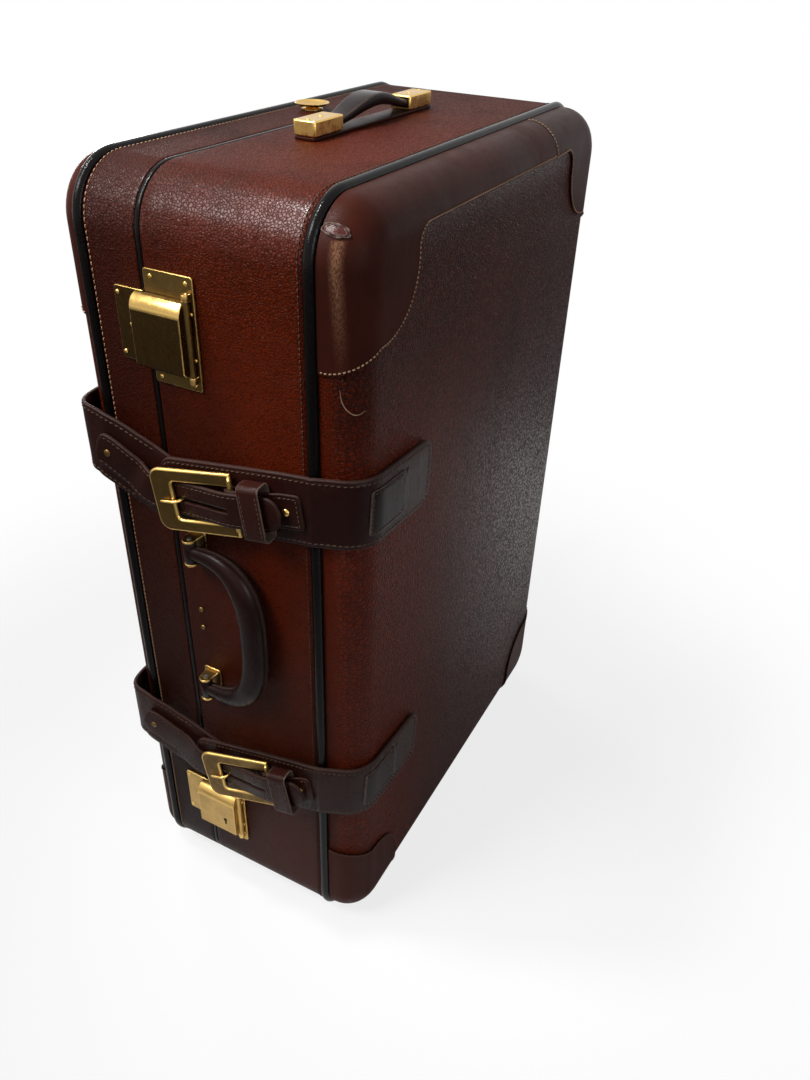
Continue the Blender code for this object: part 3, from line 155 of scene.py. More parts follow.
BILLET_ROUND, CHAPE_ROUND, SLOT_PAST_BAR, SLOT_PAST_HEEL = 0.007, 0.003, 0.006, 0.0005
STRAP_STEP, BILLET_STEP, CHAPE_STEP, PRONG_STEP = 0.002, 0.0018, 0.0008, 0.001
# The billet's tail from the lid to the buckle: shares of its run and of its sideways shift
BILLET_TAIL = ((1.0, 1.0), (0.82, 0.86), (0.63, 0.64), (0.44, 0.38), (0.25, 0.16), (0.08, 0.03))
# Half lengths of the tools that bore the prong, the bracket, the lock and the grip
PRONG_BORE, BRACKET_BORE, LOCK_BORE, GRIP_BORE = 0.01, 0.03, 0.1, 0.2
STRAP_STACK = HEEL + CHAPE_PLY + STRAP_PLY + 2 * GAP
BASE_STRAP_LIFT = 0.0052
HEEL_LIFT = BASE_STRAP_LIFT + STRAP_STACK
STRAP_LIFT = PIPING_PROUD + 2 * GAP
STRAPS = {
    "upper": {"middle": 0.1297, "heel": 0.0665, "tilt": radians(8.0), "keeper": 0.012},
    "lower": {"middle": -0.1457, "heel": 0.080, "tilt": radians(10.5), "keeper": 0.0068},
}
BOX_NEAR, BOX_FAR, BOX_HALF = 0.037, 0.082, 0.0175
BOX_PLY, BOX_ROUND, BOX_SUNK = 0.0013, 0.0015, 0.0002
# Past the box, a near-black strip paints in the shade of a pressed line: its start, end and thickness
SHADE_STRIP_START, SHADE_STRIP_END, SHADE_STRIP_PLY = 0.0004, 0.0065, 0.0006

# Stitches as (pitch, thread width), with a slant where it isn't the usual one
EDGE_STITCH, EDGE_STITCH_IN = (0.0040, 0.0007, 0.05), 0.0028
PATCH_STITCH, PATCH_STITCH_IN = (0.0030, 0.0011, 0.10), 0.0014
BOX_STITCH, BOX_STITCH_IN = (0.0034, 0.0007), 0.0022
SMALL_STITCH, CHAPE_STITCH_IN, KEEPER_STITCH_IN = (0.0036, 0.0007), 0.0030, 0.0024
BILLET_THREAD, CHAPE_STUD_IN, BILLET_STUD_IN = 0.0007, 0.012, 0.010
STITCH_START, LID_STITCH_START, CHAPE_STITCH_START = 0.004, 0.010, 0.006
END_STITCH_SHORT, LID_STITCH_SHORT, BILLET_STITCH_SHORT = 0.009, 0.030, 0.010
STITCH_FILL, STITCH_SIDES = 0.70, 6
# One stitch from end to end, as (place along, lift, thickness) by its length and radius
STITCH_SHAPE = (
    (-0.50, -0.9, 0.35), (-0.40, 0.05, 0.85), (-0.15, 0.45, 1.0),
    (0.15, 0.45, 1.0), (0.40, 0.05, 0.85), (0.50, -0.9, 0.35),
)

# Rivet heads as (radius, rise); plates and caps take their radius from the panel
STRIKE_RIVET, STRAP_STUD, BUMPER_STUD = (0.0016, 0.0010), (0.0028, 0.0016), (0.0023, 0.0016)
PLATE_RIVET_RISE, CAP_RIVET_RISE, RIVET_SEAT = 0.0009, 0.0008, 0.0004

# Softened edges of plates
SHARP, TONGUE_EDGE, LUG_EDGE, PLATE_EDGE = 0.00001, 0.0002, 0.0003, 0.0004
STRIP_EDGE, HASP_EDGE, CAP_EDGE, BUCKLE_EDGE = 0.0006, 0.0007, 0.0011, 0.0016

# Wear of the brass: width of a worn strip, its least bend, shares for upward hasp faces (wear with a painted
# highlight) and for spared faces, and the area of a flat face
WEAR_WIDTH, WEAR_BEND, CROWN_WEAR_AND_HIGHLIGHT, WEAR_SPARED, WEAR_FLAT = 0.0011, 4.0, 0.8, 0.2, 4e-6
# Distance from a cut edge that is stored for faces well away from one
NO_RIM = 0.02
# Points round a corner and along the sides of a fine loop, steps of a curve, least half width
FINE_LOOP = {"corner": 16, "short": 40, "long": 60}
CURVE_STEPS, LEAST_HALF = 24, 0.0006

FACING_X = Euler((pi / 2, 0, pi / 2)).to_matrix().to_4x4()
FACING_FRONT = Euler((pi / 2, 0, 0)).to_matrix().to_4x4()
ALONG_Y = FACING_FRONT
FRONT_FACE = Matrix.Translation((0, FRONT, 0)) @ FACING_FRONT
UPRIGHT = (0.0, 0.0, 1.0)


def shift(x, y, z):
    return Matrix.Translation((x, y, z))


class LeatherLook(bpy.types.PropertyGroup):
    """Colours and grain of the leather."""

    red: bpy.props.FloatVectorProperty(
        name="Case leather", description="Red brown of the side bands and face panels",
        subtype="COLOR", size=3, min=0, max=1, default=(0.068, 0.0076, 0.0008))
    # red_shade is also the colour that the case leather's painted shade darkens towards
    red_shade: bpy.props.FloatVectorProperty(
        name="Case leather, dark", description="Darker patches where the dye is uneven",
        subtype="COLOR", size=3, min=0, max=1, default=(0.0110, 0.0022, 0.0008))
    dark: bpy.props.FloatVectorProperty(
        name="Strap leather", description="Oxblood of straps, patches and handle",
        subtype="COLOR", size=3, min=0, max=1, default=(0.0125, 0.0042, 0.0032))
    cut: bpy.props.FloatVectorProperty(
        name="Cut edge", description="Pale worn edge of the straps",
        subtype="COLOR", size=3, min=0, max=1, default=(0.190, 0.140, 0.115))
    piping: bpy.props.FloatVectorProperty(
        name="Piping", description="Near black of the piping and binding",
        subtype="COLOR", size=3, min=0, max=1, default=(0.0036, 0.0026, 0.0024))
    thread: bpy.props.FloatVectorProperty(
        name="Thread", description="Waxed stitching thread",
        subtype="COLOR", size=3, min=0, max=1, default=(0.300, 0.185, 0.115))
    lining: bpy.props.FloatVectorProperty(
        name="Lining", description="Cloth inside the case",
        subtype="COLOR", size=3, min=0, max=1, default=(0.300, 0.205, 0.120))
    pebble: bpy.props.FloatProperty(
        name="Pebble", description="Width of one pebble of the case leather's grain",
        subtype="DISTANCE", unit="LENGTH", min=0.0005, max=0.01, default=0.0021)


class BrassLook(bpy.types.PropertyGroup):
    """Colours of the metal."""

    bright: bpy.props.FloatVectorProperty(
        name="Brass", description="Worn bright brass",
        subtype="COLOR", size=3, min=0, max=1, default=(0.74, 0.48, 0.15))
    tarnish: bpy.props.FloatVectorProperty(
        name="Tarnish", description="Darkened brass on faces that hands don't reach",
        subtype="COLOR", size=3, min=0, max=1, default=(0.054, 0.026, 0.007))
    steel: bpy.props.FloatVectorProperty(
        name="Steel", description="Pins and bolts",
        subtype="COLOR", size=3, min=0, max=1, default=(0.450, 0.440, 0.420))


class MakingSizes(bpy.types.PropertyGroup):
    """Sizes of the sewn and fixed detail."""

    stitch_pitch: bpy.props.FloatProperty(
        name="Stitch pitch", description="From one stitch to the next on straps and patches",
        subtype="DISTANCE", unit="LENGTH", min=0.002, max=0.02, default=0.0042)
    thread_width: bpy.props.FloatProperty(
        name="Thread width", description="Thickness of the thread",
        subtype="DISTANCE", unit="LENGTH", min=0.0002, max=0.002, default=0.0008)
    stitch_inset: bpy.props.FloatProperty(
        name="Stitch inset", description="From the edge of a strap to its stitch line",
        subtype="DISTANCE", unit="LENGTH", min=0.001, max=0.01, default=0.0036)
    crown: bpy.props.FloatProperty(
        name="Panel crown", description="How far the middle of the base's face stands out",
        subtype="DISTANCE", unit="LENGTH", min=0, max=0.004, default=0.0012)
    rivet: bpy.props.FloatProperty(
        name="Rivet", description="Radius of a rivet's head on lock plates and caps",
        subtype="DISTANCE", unit="LENGTH", min=0.0005, max=0.005, default=0.0015)


class Socket:
    """A node's output: arithmetic on it adds Math nodes, and node() adds any other kind."""

    def __init__(self, tree, output):
        self.tree, self.output = tree, output

    def node(self, kind, settings=None, sockets=None, out=0):
        made = self.tree.nodes.new(kind)
        for key, value in (settings or {}).items():
            setattr(made, key, value)
        for key, value in (sockets or {}).items():
            if isinstance(value, Socket):
                self.tree.links.new(value.output, made.inputs[key])
            else:
                made.inputs[key].default_value = value
        return Socket(self.tree, made.outputs[out])

    def math(self, operation, *values):
        return self.node("ShaderNodeMath", {"operation": operation}, dict(enumerate(values)))

    def __add__(self, other):
        return self.math("ADD", self, other)

    __radd__ = __add__

    def __mul__(self, other):
        return self.math("MULTIPLY", self, other)

    __rmul__ = __mul__

    def __sub__(self, other):
        return self.math("SUBTRACT", self, other)

    def __rsub__(self, other):
        return self.math("SUBTRACT", other, self)

    def __truediv__(self, other):
        return self.math("DIVIDE", self, other)


    def __pow__(self, other):
        return self.math("POWER", self, other)

    def __abs__(self):
        return self.math("ABSOLUTE", self)

    def ease(self, start, end, low=0.0, high=1.0):
        """A smooth step between two values."""
        settings = {"interpolation_type": "SMOOTHSTEP"}
        return self.node("ShaderNodeMapRange", settings, {0: self, 1: start, 2: end, 3: low, 4: high})

    def noise(self, scale, detail=2.0, roughness=0.55, distortion=0.0):
        sockets = {"Vector": self, "Scale": scale, "Detail": detail,
                   "Roughness": roughness, "Distortion": distortion}
        return self.node("ShaderNodeTexNoise", None, sockets)

    def split(self):
        """The three coordinates of a place."""
        return (self.node("ShaderNodeSeparateXYZ", None, {0: self}, out=k) for k in range(3))

    def stretched(self, x, y, z):
        return self.node("ShaderNodeVectorMath", {"operation": "MULTIPLY"}, {0: self, 1: (x, y, z)})

    def pebbles(self, size, edge):
        """Height of a pebbled grain: 0 in the creases, 1 on the pebbles."""
        drift = self.node("ShaderNodeTexNoise", None, {"Vector": self, "Scale": 0.18 / size}, out=1)
        swirl = drift.node("ShaderNodeVectorMath", {"operation": "SCALE"}, {0: drift, "Scale": 1.3 * size})
        place = swirl.node("ShaderNodeVectorMath", {"operation": "ADD"}, {0: self, 1: swirl})
        cells = place.node(
            "ShaderNodeTexVoronoi", {"feature": "DISTANCE_TO_EDGE"},
            {"Vector": place, "Scale": 1.0 / size, "Randomness": 0.95})
        return cells.ease(0.0, edge)

    def blend(self, mask, first, second):
        first, second = ((*c, 1.0) if isinstance(c, tuple) else c for c in (first, second))
        settings = {"data_type": "RGBA", "clamp_factor": True}
        return self.node("ShaderNodeMix", settings, {0: mask, 6: first, 7: second}, out=2)

    def bump(self, strength, distance, below=None):
        sockets = {"Strength": strength, "Distance": distance, "Height": self}
        if below is not None:
            sockets["Normal"] = below
        return self.node("ShaderNodeBump", None, sockets)

    def flag(self, name):
        """A number stored on the mesh's points."""
        return self.node("ShaderNodeAttribute", {"attribute_name": name}, None, out=2)


def new_finish(name):
    """An empty material, and the place on the object as a socket."""
    material = bpy.data.materials.new(name)
    material.use_nodes = True
    place = material.node_tree.nodes.new("ShaderNodeTexCoord")
    return material, Socket(material.node_tree, place.outputs["Object"])


def wire(material, colour=None, rough=None, normal=None, coat=None, **numbers):
    """Links a finish's varying values to its shader, sets its plain numbers, and hands it back."""
    shader = material.node_tree.nodes["Principled BSDF"]
    links = {"Base Color": colour, "Roughness": rough, "Normal": normal, "Coat Weight": coat}
    for key, value in links.items():
        if value is not None:
            shader.id_data.links.new(value.output, shader.inputs[key])
    for key, value in numbers.items():
        shader.inputs[key.replace("_", " ")].default_value = value
    return material


def tinted(colour, *shares):
    """A colour with its channels multiplied by one share or by three, no brighter than full."""
    shares = shares * 3 if len(shares) == 1 else shares
    return tuple(min(1.0, c * share) for c, share in zip(colour, shares))


FINISHES = {}


def case_leather():
    """Pebbled red brown leather with uneven dye, with painted shade and painted light by place on the case,
    and shinier in places.
    """
    look = bpy.context.scene.suitcase_leather
    material, place = new_finish("pebbled case leather")
    x, y, z = place.split()
    pebble = place.pebbles(look.pebble, 0.26)
    clump = place.pebbles(look.pebble * 1.9, 0.30)
    fine = place.noise(1500, 3)
    cloud = place.noise(5.5, 4, 0.6).ease(0.34, 0.70)
    smudge = place.stretched(1.0, 1.0, 0.45).noise(13, 4, 0.6, 0.3).ease(0.45, 0.80)
    red, shade = tuple(look.red), tuple(look.red_shade)
    rosy = tinted(red, 1.30, 1.15, 1.05)

    # Masks by place: painted shade by the seam, over the lid and towards the foot, the face panel and its
    # zones of painted shade, painted light and painted reflection, and the top roll
    # Painted shade: darker by the seam and over the lid's side band, fading across the base's side band, and
    # darker towards the foot
    seam_shade = (1 - x.ease(-0.040, 0.085)) * x.ease(-0.062, -0.052) * 0.68
    foot_shade = (1 - z.ease(-0.26, 0.10)) * 0.40
    painted_shade = (seam_shade + foot_shade) * (1 - 0.7 * y.ease(-0.10, 0.10))
    face = x.ease(0.132, 0.142)
    # Painted shade over the lid and on the upper part of the face panel
    lid_shade = (1 - x.ease(-0.05, -0.005)) * 0.22
    face_top_shade = face * z.ease(0.10, 0.24) * 0.15
    # Painted light: a brighter, redder zone on the face panel near its front edge, below its upper part
    face_painted_light = face * (1 - y.ease(-0.19, -0.02)) * (1 - z.ease(0.12, 0.24)) * 0.45
    # Sheen: where a coat is placed on the face panel; the colour is darkened there too, and together they
    # paint in its reflection
    sheen = face * y.ease(-0.14, 0.16) * (1 - z.ease(0.04, 0.26)) * z.ease(-0.30, -0.06, 0.35)
    burnish = z.ease(0.278, 0.304) * (1 - z.ease(0.319, 0.331))
    top_end = z.ease(0.324, 0.3315)

    colour = cloud.blend(cloud, red, rosy)
    for mask, over in (
        (smudge * 0.55, shade),
        # painted shade by the seam and towards the foot
        (painted_shade, shade),
        # painted shade in the grain's creases
        ((1 - pebble) * 0.58, tinted(shade, 0.40)),
        # darker colour under the sheen, part of the painted reflection
        (sheen * 0.50, shade),
        # painted shade on the upper face panel and over the lid
        (face_top_shade + lid_shade, shade),
        # painted light on the face panel
        (face_painted_light, tinted(rosy, 1.7)),
        # painted shade in the creases of the face panel's coarser grain
        (face * (1 - clump) * 0.62, tinted(shade, 0.35)),
    ):
        colour = colour.blend(mask, colour, over)
    rough = 0.22 - 0.08 * burnish + 0.06 * smudge + 0.16 * (1 - pebble) + 0.06 * fine + 0.24 * top_end
    swell = place.noise(9, 2).bump(0.22, 0.006)
    grain = (pebble * 0.8 + fine * 0.25) * (1 + 0.6 * face)
    coarse = clump * face * z.ease(0.06, 0.22, 1.6, 0.5)
    return wire(material, colour, rough, (grain + coarse).bump(0.72, 0.00052, swell),
                burnish * pebble * 0.40 + sheen * clump, Specular_IOR_Level=0.055, Coat_Roughness=0.30)


def corner_wear_and_highlight(place):
    """Where the front top patch is worn pale with a painted highlight, in a line that narrows down the
    panel's roll.
    """
    x, y, z = place.split()
    across = abs(x - 0.1391 - (0.307 - z) * 0.05)
    fibres = place.stretched(1.0, 1.0, 0.45).noise(1100, 4, 0.75).ease(0.36, 0.64)
    line = (1 - across.ease(0.0, 0.0056)) * z.ease(0.200, 0.308) ** 1.6 * (1 - z.ease(0.3075, 0.3090))
    return line * (1 - y.ease(-0.20, -0.19)) * (0.12 + 0.88 * fibres)


def strap_leather(name, tint, rough_low, grain_depth, gloss, pale=0.07, worn_and_lit=False):
    """Smooth oiled leather with fine pores, cut edges by their share of pale, and a pressed line."""
    look = bpy.context.scene.suitcase_leather
    material, place = new_finish(name)
    pores = place.pebbles(0.0011, 0.30)
    streak = place.stretched(1.0, 1.0, 0.25).noise(38, 5, 0.62, 0.3).ease(0.42, 0.76)
    cloud = place.noise(12, 3).ease(0.35, 0.7)
    scratch = place.stretched(1.0, 1.0, 3.2).noise(160, 5, 0.7).ease(0.66, 0.80)
    fray = place.noise(420, 3).ease(0.30, 0.62)
    cut = place.flag("cut")
    dark = tinted(look.dark, *tint)
    colour = cloud.blend(cloud * 0.55, dark, tinted(dark, 1.75, 1.5, 1.4))
    for mask, over in (
        (streak * 0.35, tinted(dark, 0.45)),
        (scratch * 0.22, tinted(look.cut, 0.30)),
        (cut * (0.55 + 0.45 * fray) * pale, tuple(look.cut)),
    ):
        colour = colour.blend(mask, colour, over)
    rough = rough_low + 0.12 * streak + 0.10 * cloud + 0.25 * cut
    if worn_and_lit:
        # A pale worn line down the patch's roll, with a painted highlight in it
        wear_and_highlight = corner_wear_and_highlight(place)
        colour = colour.blend(wear_and_highlight * 0.90, colour, (0.230, 0.112, 0.062))
        rough = rough + 0.08 * wear_and_highlight
    pressed = abs(place.flag("rim") - 0.0023).ease(0.0, 0.0007)
    height = pores * grain_depth + place.noise(900, 3) * 0.3 + pressed * 1.6
    swell = place.noise(26, 2).bump(0.20, 0.0022)
    return wire(material, colour, rough, height.bump(0.40, 0.0003, swell), Specular_IOR_Level=gloss)


def cut_edge():
    """The frayed rim of the pinched fold: fibres rubbed through the dye."""
    look = bpy.context.scene.suitcase_leather
    material, place = new_finish("worn patch edge")
    fray = place.noise(300, 3).ease(0.35, 0.65)
    colour = fray.blend(fray * 0.8, tinted(look.dark, 2.2), tinted(look.cut, 0.75))
    return wire(material, colour, 0.55 + 0.2 * fray, fray.bump(0.3, 0.0003), Specular_IOR_Level=0.2)


def piping_leather():
    """Near black creased leather of the piping, the binding and dyed edges."""
    look = bpy.context.scene.suitcase_leather
    material, place = new_finish("black piping leather")
    crease = place.pebbles(0.0016, 0.30)
    worn = place.noise(48, 5, 0.65).ease(0.52, 0.78)
    colour = worn.blend(worn * 0.5, tuple(look.piping), tinted(look.piping, 1.8))
    grain = (crease + place.noise(700, 2) * 0.4).bump(0.18, 0.0003)
    return wire(material, colour, 0.15 + 0.12 * worn, grain, Specular_IOR_Level=0.10)


def brass_finish(name, share, rough_low):
    """Brass that is bright on worn edges and darkened by the given share on its faces."""
    look = bpy.context.scene.suitcase_brass
    material, place = new_finish(name)
    stain = place.noise(70, 5, 0.65, 0.5).ease(0.34, 0.70)
    speck = place.noise(520, 3, 0.6).ease(0.58, 0.76)
    brushed = place.stretched(40, 40, 1.0).noise(30, 3, 0.7)
    # The worn flag lightens worn edges and a hasp's upward faces, where it also paints a highlight
    dark = (share + (stain - 0.5) * 0.10) * (1 - place.flag("worn") * 0.88)
    dark = dark.math("MAXIMUM", dark, speck * 0.30)
    colour = dark.blend(dark, tuple(look.bright), tuple(look.tarnish))
    rough = rough_low + 0.16 * stain + 0.12 * brushed + 0.14 * speck
    grain = (brushed * 0.5 + speck * -0.6 + place.noise(110, 2) * 1.4).bump(0.16, 0.00035)
    return wire(material, colour, rough, grain, Metallic=1.0)


def steel_finish():
    """Dull steel with a few brown stains."""
    look = bpy.context.scene.suitcase_brass
    material, place = new_finish("pin steel")
    stain = place.noise(160, 4).ease(0.40, 0.72)
    colour = stain.blend(stain * 0.6, tuple(look.steel), (0.16, 0.13, 0.10))
    return wire(material, colour, 0.28 + 0.22 * stain, place.noise(600, 2).bump(0.15, 0.0002), Metallic=1.0)


def lining_cloth():
    """Plain woven cotton: over and under threads in the plane of the walls."""
    look = bpy.context.scene.suitcase_leather
    material, place = new_finish("woven lining cloth")
    waves = [place.node(
        "ShaderNodeTexWave", {"wave_type": "BANDS", "bands_direction": axis},
        {"Vector": place, "Scale": 260.0, "Distortion": 0.6, "Detail": 1.0}) for axis in "XYZ"]
    weave = (waves[0] + waves[1] + waves[2]) / 3
    slub = place.noise(60, 4).ease(0.35, 0.7)
    colour = slub.blend(slub * 0.5, tuple(look.lining), tinted(look.lining, 0.72))
    colour = colour.blend((1 - weave) * 0.5, colour, tinted(look.lining, 0.6))
    return wire(material, colour, 0.86 + 0.1 * weave, weave.bump(0.5, 0.0004),
                Sheen_Weight=0.25, Specular_IOR_Level=0.2)


def rim_board():
    """Dark paper over the board of the rim."""
    material, place = new_finish("covered rim board")
    fibre = place.stretched(30, 1, 1).noise(40, 4, 0.6)
    cloud = place.noise(30, 3).ease(0.35, 0.7)
    colour = cloud.blend(cloud * 0.6, (0.050, 0.026, 0.016), (0.095, 0.055, 0.034))
    grain = (fibre + place.pebbles(0.0012, 0.3)).bump(0.3, 0.0003)
    return wire(material, colour, 0.50 + 0.2 * fibre, grain, Specular_IOR_Level=0.35)


def waxed_thread(name, share):
    """Twisted thread, by its share of the thread colour."""
    look = bpy.context.scene.suitcase_leather
    material, place = new_finish(name)
    ply = place.noise(2400, 2)
    soil = place.noise(34, 4).ease(0.35, 0.72)
    pale = tinted(look.thread, share)
    colour = soil.blend(soil * 0.6, pale, tinted(pale, 0.4))
    colour = colour.blend(ply * 0.3, colour, tinted(pale, 1.6))
    return wire(material, colour, 0.55 + 0.2 * soil, ply.bump(0.4, 0.0002), Specular_IOR_Level=0.1)


def make_finishes():
    """Makes every material; the straps' numbers are roughness, grain depth, gloss and pale edges."""
    FINISHES.update({
        "case": case_leather(),
        "strap": strap_leather("oiled strap leather", (1.10, 0.84, 0.76), 0.19, 0.55, 0.10),
        "patch": strap_leather("corner patch leather", (2.2, 1.6, 1.3), 0.30, 0.45, 0.035, worn_and_lit=True),
        "fold": strap_leather("pinched leather", (3.6, 1.6, 1.2), 0.22, 0.30, 0.25),
        "grip": strap_leather("handled grip leather", (0.62, 0.70, 0.76), 0.18, 0.25, 0.09, 0.5),
        "edge": cut_edge(),
        "keeper": strap_leather("keeper leather", (1.5, 1.15, 1.0), 0.26, 0.60, 0.10, 0.4),
        "piping": piping_leather(),
        "lock": brass_finish("handled lock brass", 0.96, 0.18),
        "buckle": brass_finish("cast buckle brass", 0.86, 0.24),
        "dull": brass_finish("dull fitting brass", 0.80, 0.20),
        # The lower lock's brass: the same brass with far less tarnish, a lighter copy that paints in the
        # bright reflection on the lower lock
        "lit_lock_brass": brass_finish("lower lock brass", 0.42, 0.24),
        "brass": brass_finish("bright fitting brass", 0.12, 0.17),
        "steel": steel_finish(),
        "lining": lining_cloth(),
        "rim": rim_board(),
        "thread": waxed_thread("pale waxed thread", 1.0),
        "dark_thread": waxed_thread("dark waxed thread", 0.20),
    })


DARK_LEATHER = ("strap", "patch", "grip", "edge", "keeper", "fold", "thread", "dark_thread")
BRASSES = ("lock", "buckle", "dull", "lit_lock_brass", "brass")
SLOTS = {
    "case": "red_brown_leather", "piping": "black_piping", "steel": "steel",
    "lining": "lining_cloth", "rim": "rim_board",
    **dict.fromkeys(DARK_LEATHER, "dark_brown_leather"), **dict.fromkeys(BRASSES, "brass"),
}


def settle(obj, finish, body, nodes=()):
    """Gives a finished piece its material and its body, and hides the nodes it stands for."""
    if finish not in FINISHES:
        raise RuntimeError(f"no finish named {finish}")
    if not obj.data.materials:
        obj.data.materials.append(FINISHES[finish])
    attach(obj, body)
    if nodes:
        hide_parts(*nodes)
    return obj


def piece(name, shape, smooth=40, flags=None):
    """A mesh object in the case's own frame, with its outward side set and numbers on its points."""
    mesh = bpy.data.meshes.new(name)
    points, faces = shape
    mesh.from_pydata([tuple(p) for p in points], [], [tuple(f) for f in faces])
    bm = bmesh.new()
    bm.from_mesh(mesh)
    bmesh.ops.recalc_face_normals(bm, faces=bm.faces)
    bm.to_mesh(mesh)
    bm.free()
    for key, values in (flags or {}).items():
        layer = mesh.attributes.new(key, "FLOAT", "POINT")
        layer.data.foreach_set("value", np.asarray(values, dtype=np.float32))
    return stand(name, mesh, smooth)


def smoothed(mesh, sharpest):
    mesh.shade_smooth()
    mesh.set_sharp_from_angle(angle=radians(sharpest))


def stand(name, mesh, smooth=40):
    """Puts a mesh into the scene at the case's own place."""
    smoothed(mesh, smooth)
    obj = bpy.data.objects.new(name, mesh)
    bpy.context.scene.collection.objects.link(obj)
    obj.location = CASE
    return obj


def mark_wear(obj, spare=None, crown=None):
    """Stores which faces are narrow strips over a convex edge, so that edges can be worn bright.

    Faces round spare, an upright line given as (x, y, radius), are worn less, and faces that look
    up by more than crown are made bright: wear on a hasp's crown, with a painted highlight on its top."""
    bm = bmesh.new()
    bm.from_mesh(obj.data)
    bmesh.ops.dissolve_limit(bm, angle_limit=radians(0.5), verts=bm.verts, edges=bm.edges)
    bm.faces.index_update()
    worn = np.zeros(len(bm.faces), dtype=np.float32)
    for face in bm.faces:
        longest = max(edge.calc_length() for edge in face.edges)
        bend = max((degrees(edge.calc_face_angle(0.0)) for edge in face.edges
                    if len(edge.link_faces) == 2 and edge.is_convex), default=0.0)
        if bend > WEAR_BEND and face.calc_area() / max(longest, 1e-9) < WEAR_WIDTH:
            worn[face.index] = 1.0
        # Upward faces: wear on a hasp's crown, with a painted highlight on its top
        if crown and face.normal.z > crown:
            worn[face.index] = CROWN_WEAR_AND_HIGHLIGHT
        middle = face.calc_center_median()
        if spare and hypot(middle.x - spare[0], middle.y - spare[1]) < spare[2]:
            worn[face.index] *= WEAR_SPARED
        if not worn[face.index] and face.calc_area() > WEAR_FLAT:
            face.smooth = False
    bm.to_mesh(obj.data)
    bm.free()
    obj.data.attributes.new("worn", "FLOAT", "FACE").data.foreach_set("value", worn)
    return obj


def skin(rings, along=False):
    """Points and faces over matching rings, closed by a face at both ends, or joined end to end."""
    rings = [np.asarray(ring, dtype=float) for ring in rings]
    count = len(rings[0])
    faces = []
    for i in range(len(rings) if along else len(rings) - 1):
        a, b = i * count, ((i + 1) % len(rings)) * count
        for j in range(count):
            k = (j + 1) % count
            faces.append((a + j, a + k, b + k, b + j))
    if not along:
        faces.append(tuple(range(count))[::-1])
        faces.append(tuple(range((len(rings) - 1) * count, len(rings) * count)))
    return np.concatenate(rings), faces


def unit(rows):
    """Vectors brought to length one."""
    return rows / np.linalg.norm(rows, axis=-1, keepdims=True)


def moved(place, points):
    """Points carried from a place's own frame to the case's."""
    turn = np.array(place.to_3x3())
    return np.asarray(points, dtype=float) @ turn.T + np.array(place.translation)


def arc(centre, radius, start, end, steps):
    angles = [radians(start + (end - start) * i / steps) for i in range(steps + 1)]
    return [(centre[0] + radius * cos(a), centre[1] + radius * sin(a)) for a in angles]


def rounded_plate(width, height, radius, middle=(0, 0), steps=5):
    """The outline of a rectangle with round corners."""
    right, top = width / 2 - radius, height / 2 - radius
    points = []
    for u, v, start in ((right, top, 0), (-right, top, 90), (-right, -top, 180), (right, -top, 270)):
        points += arc((middle[0] + u, middle[1] + v), radius, start, start + 90, steps)
    return points


def case_loop(inset, corner=14, short=14, long=22):
    """(y, z) points round the case, drawn in by an inset, with points along its straight sides."""
    half_w, half_l = WIDTH / 2 - inset, LENGTH / 2 - inset
    radius = min(max(CORNER - inset, LEAST_CORNER), half_w * 0.95)
    right, top = half_w - radius, half_l - radius
    corners = ((right, top, 0), (-right, top, 90), (-right, -top, 180), (right, -top, 270))
    points = []
    for index, (y, z, start) in enumerate(corners):
        turn = arc((y, z), radius, start, start + 90, corner)
        following = corners[(index + 1) % 4]
        (y0, z0), (y1, z1) = turn[-1], arc(following[:2], radius, following[2], following[2], 1)[0]
        count = short if index % 2 == 0 else long
        points += turn
        points += [(y0 + (y1 - y0) * i / count, z0 + (z1 - z0) * i / count) for i in range(1, count)]
    return np.array(points)


def round_case(section, **spread):
    """Rings round the case for a section of (x, inset) points."""
    rings = []
    for x, inset in section:
        loop = case_loop(inset, **spread)
        rings.append(np.column_stack([np.full(len(loop), x), loop]))
    return rings


def dome_section(start, rise, roll, inset, side, crown=0.0, steps=9):
    """(x, inset) points from a panel's mouth, over its rolled edge, to the middle of its face."""
    section = [(0.0, inset), (max(rise - roll, 0.0) * 0.5, inset)]
    for i in range(steps + 1):
        a = pi / 2 * i / steps
        section.append((rise - roll + roll * sin(a), inset + roll * (1 - cos(a))))
    edge = inset + roll
    for share in FACE_SHARES:
        deep = edge + (WIDTH / 2 - edge) * share
        section.append((rise + crown * (1 - (1 - share) ** 2), deep))
    return [(side * (start + x), deep) for x, deep in section]


def tube(path, radii, sides, closed=False):
    """Points and faces of a round bar along a path."""
    path = np.asarray(path, dtype=float)
    if closed:
        tangents = np.roll(path, -1, axis=0) - np.roll(path, 1, axis=0)
    else:
        tangents = np.gradient(path, axis=0)
    angles = 2 * pi * np.arange(sides) / sides
    rings = []
    for spot, tangent, radius in zip(path, unit(tangents), radii):
        side = unit(np.cross(np.array((1.0, 0.0, 0.0)), tangent))
        lift = np.cross(tangent, side)
        rings.append(spot + radius * (np.cos(angles)[:, None] * side + np.sin(angles)[:, None] * lift))
    return skin(rings, closed)


def curve_through(points, step):
    """A smooth run through points, resampled at even steps."""
    points = [np.asarray(p, dtype=float) for p in points]
    ends = [2 * points[0] - points[1]] + points + [2 * points[-1] - points[-2]]
    dense = []
    for before, a, b, after in zip(ends, ends[1:], ends[2:], ends[3:]):
        bend = 2 * before - 5 * a + 4 * b - after
        twist = -before + 3 * a - 3 * b + after
        for t in (i / CURVE_STEPS for i in range(CURVE_STEPS)):
            dense.append(a + 0.5 * ((b - before) * t + bend * t * t + twist * t**3))
    dense.append(points[-1])
    return resample(dense, step)


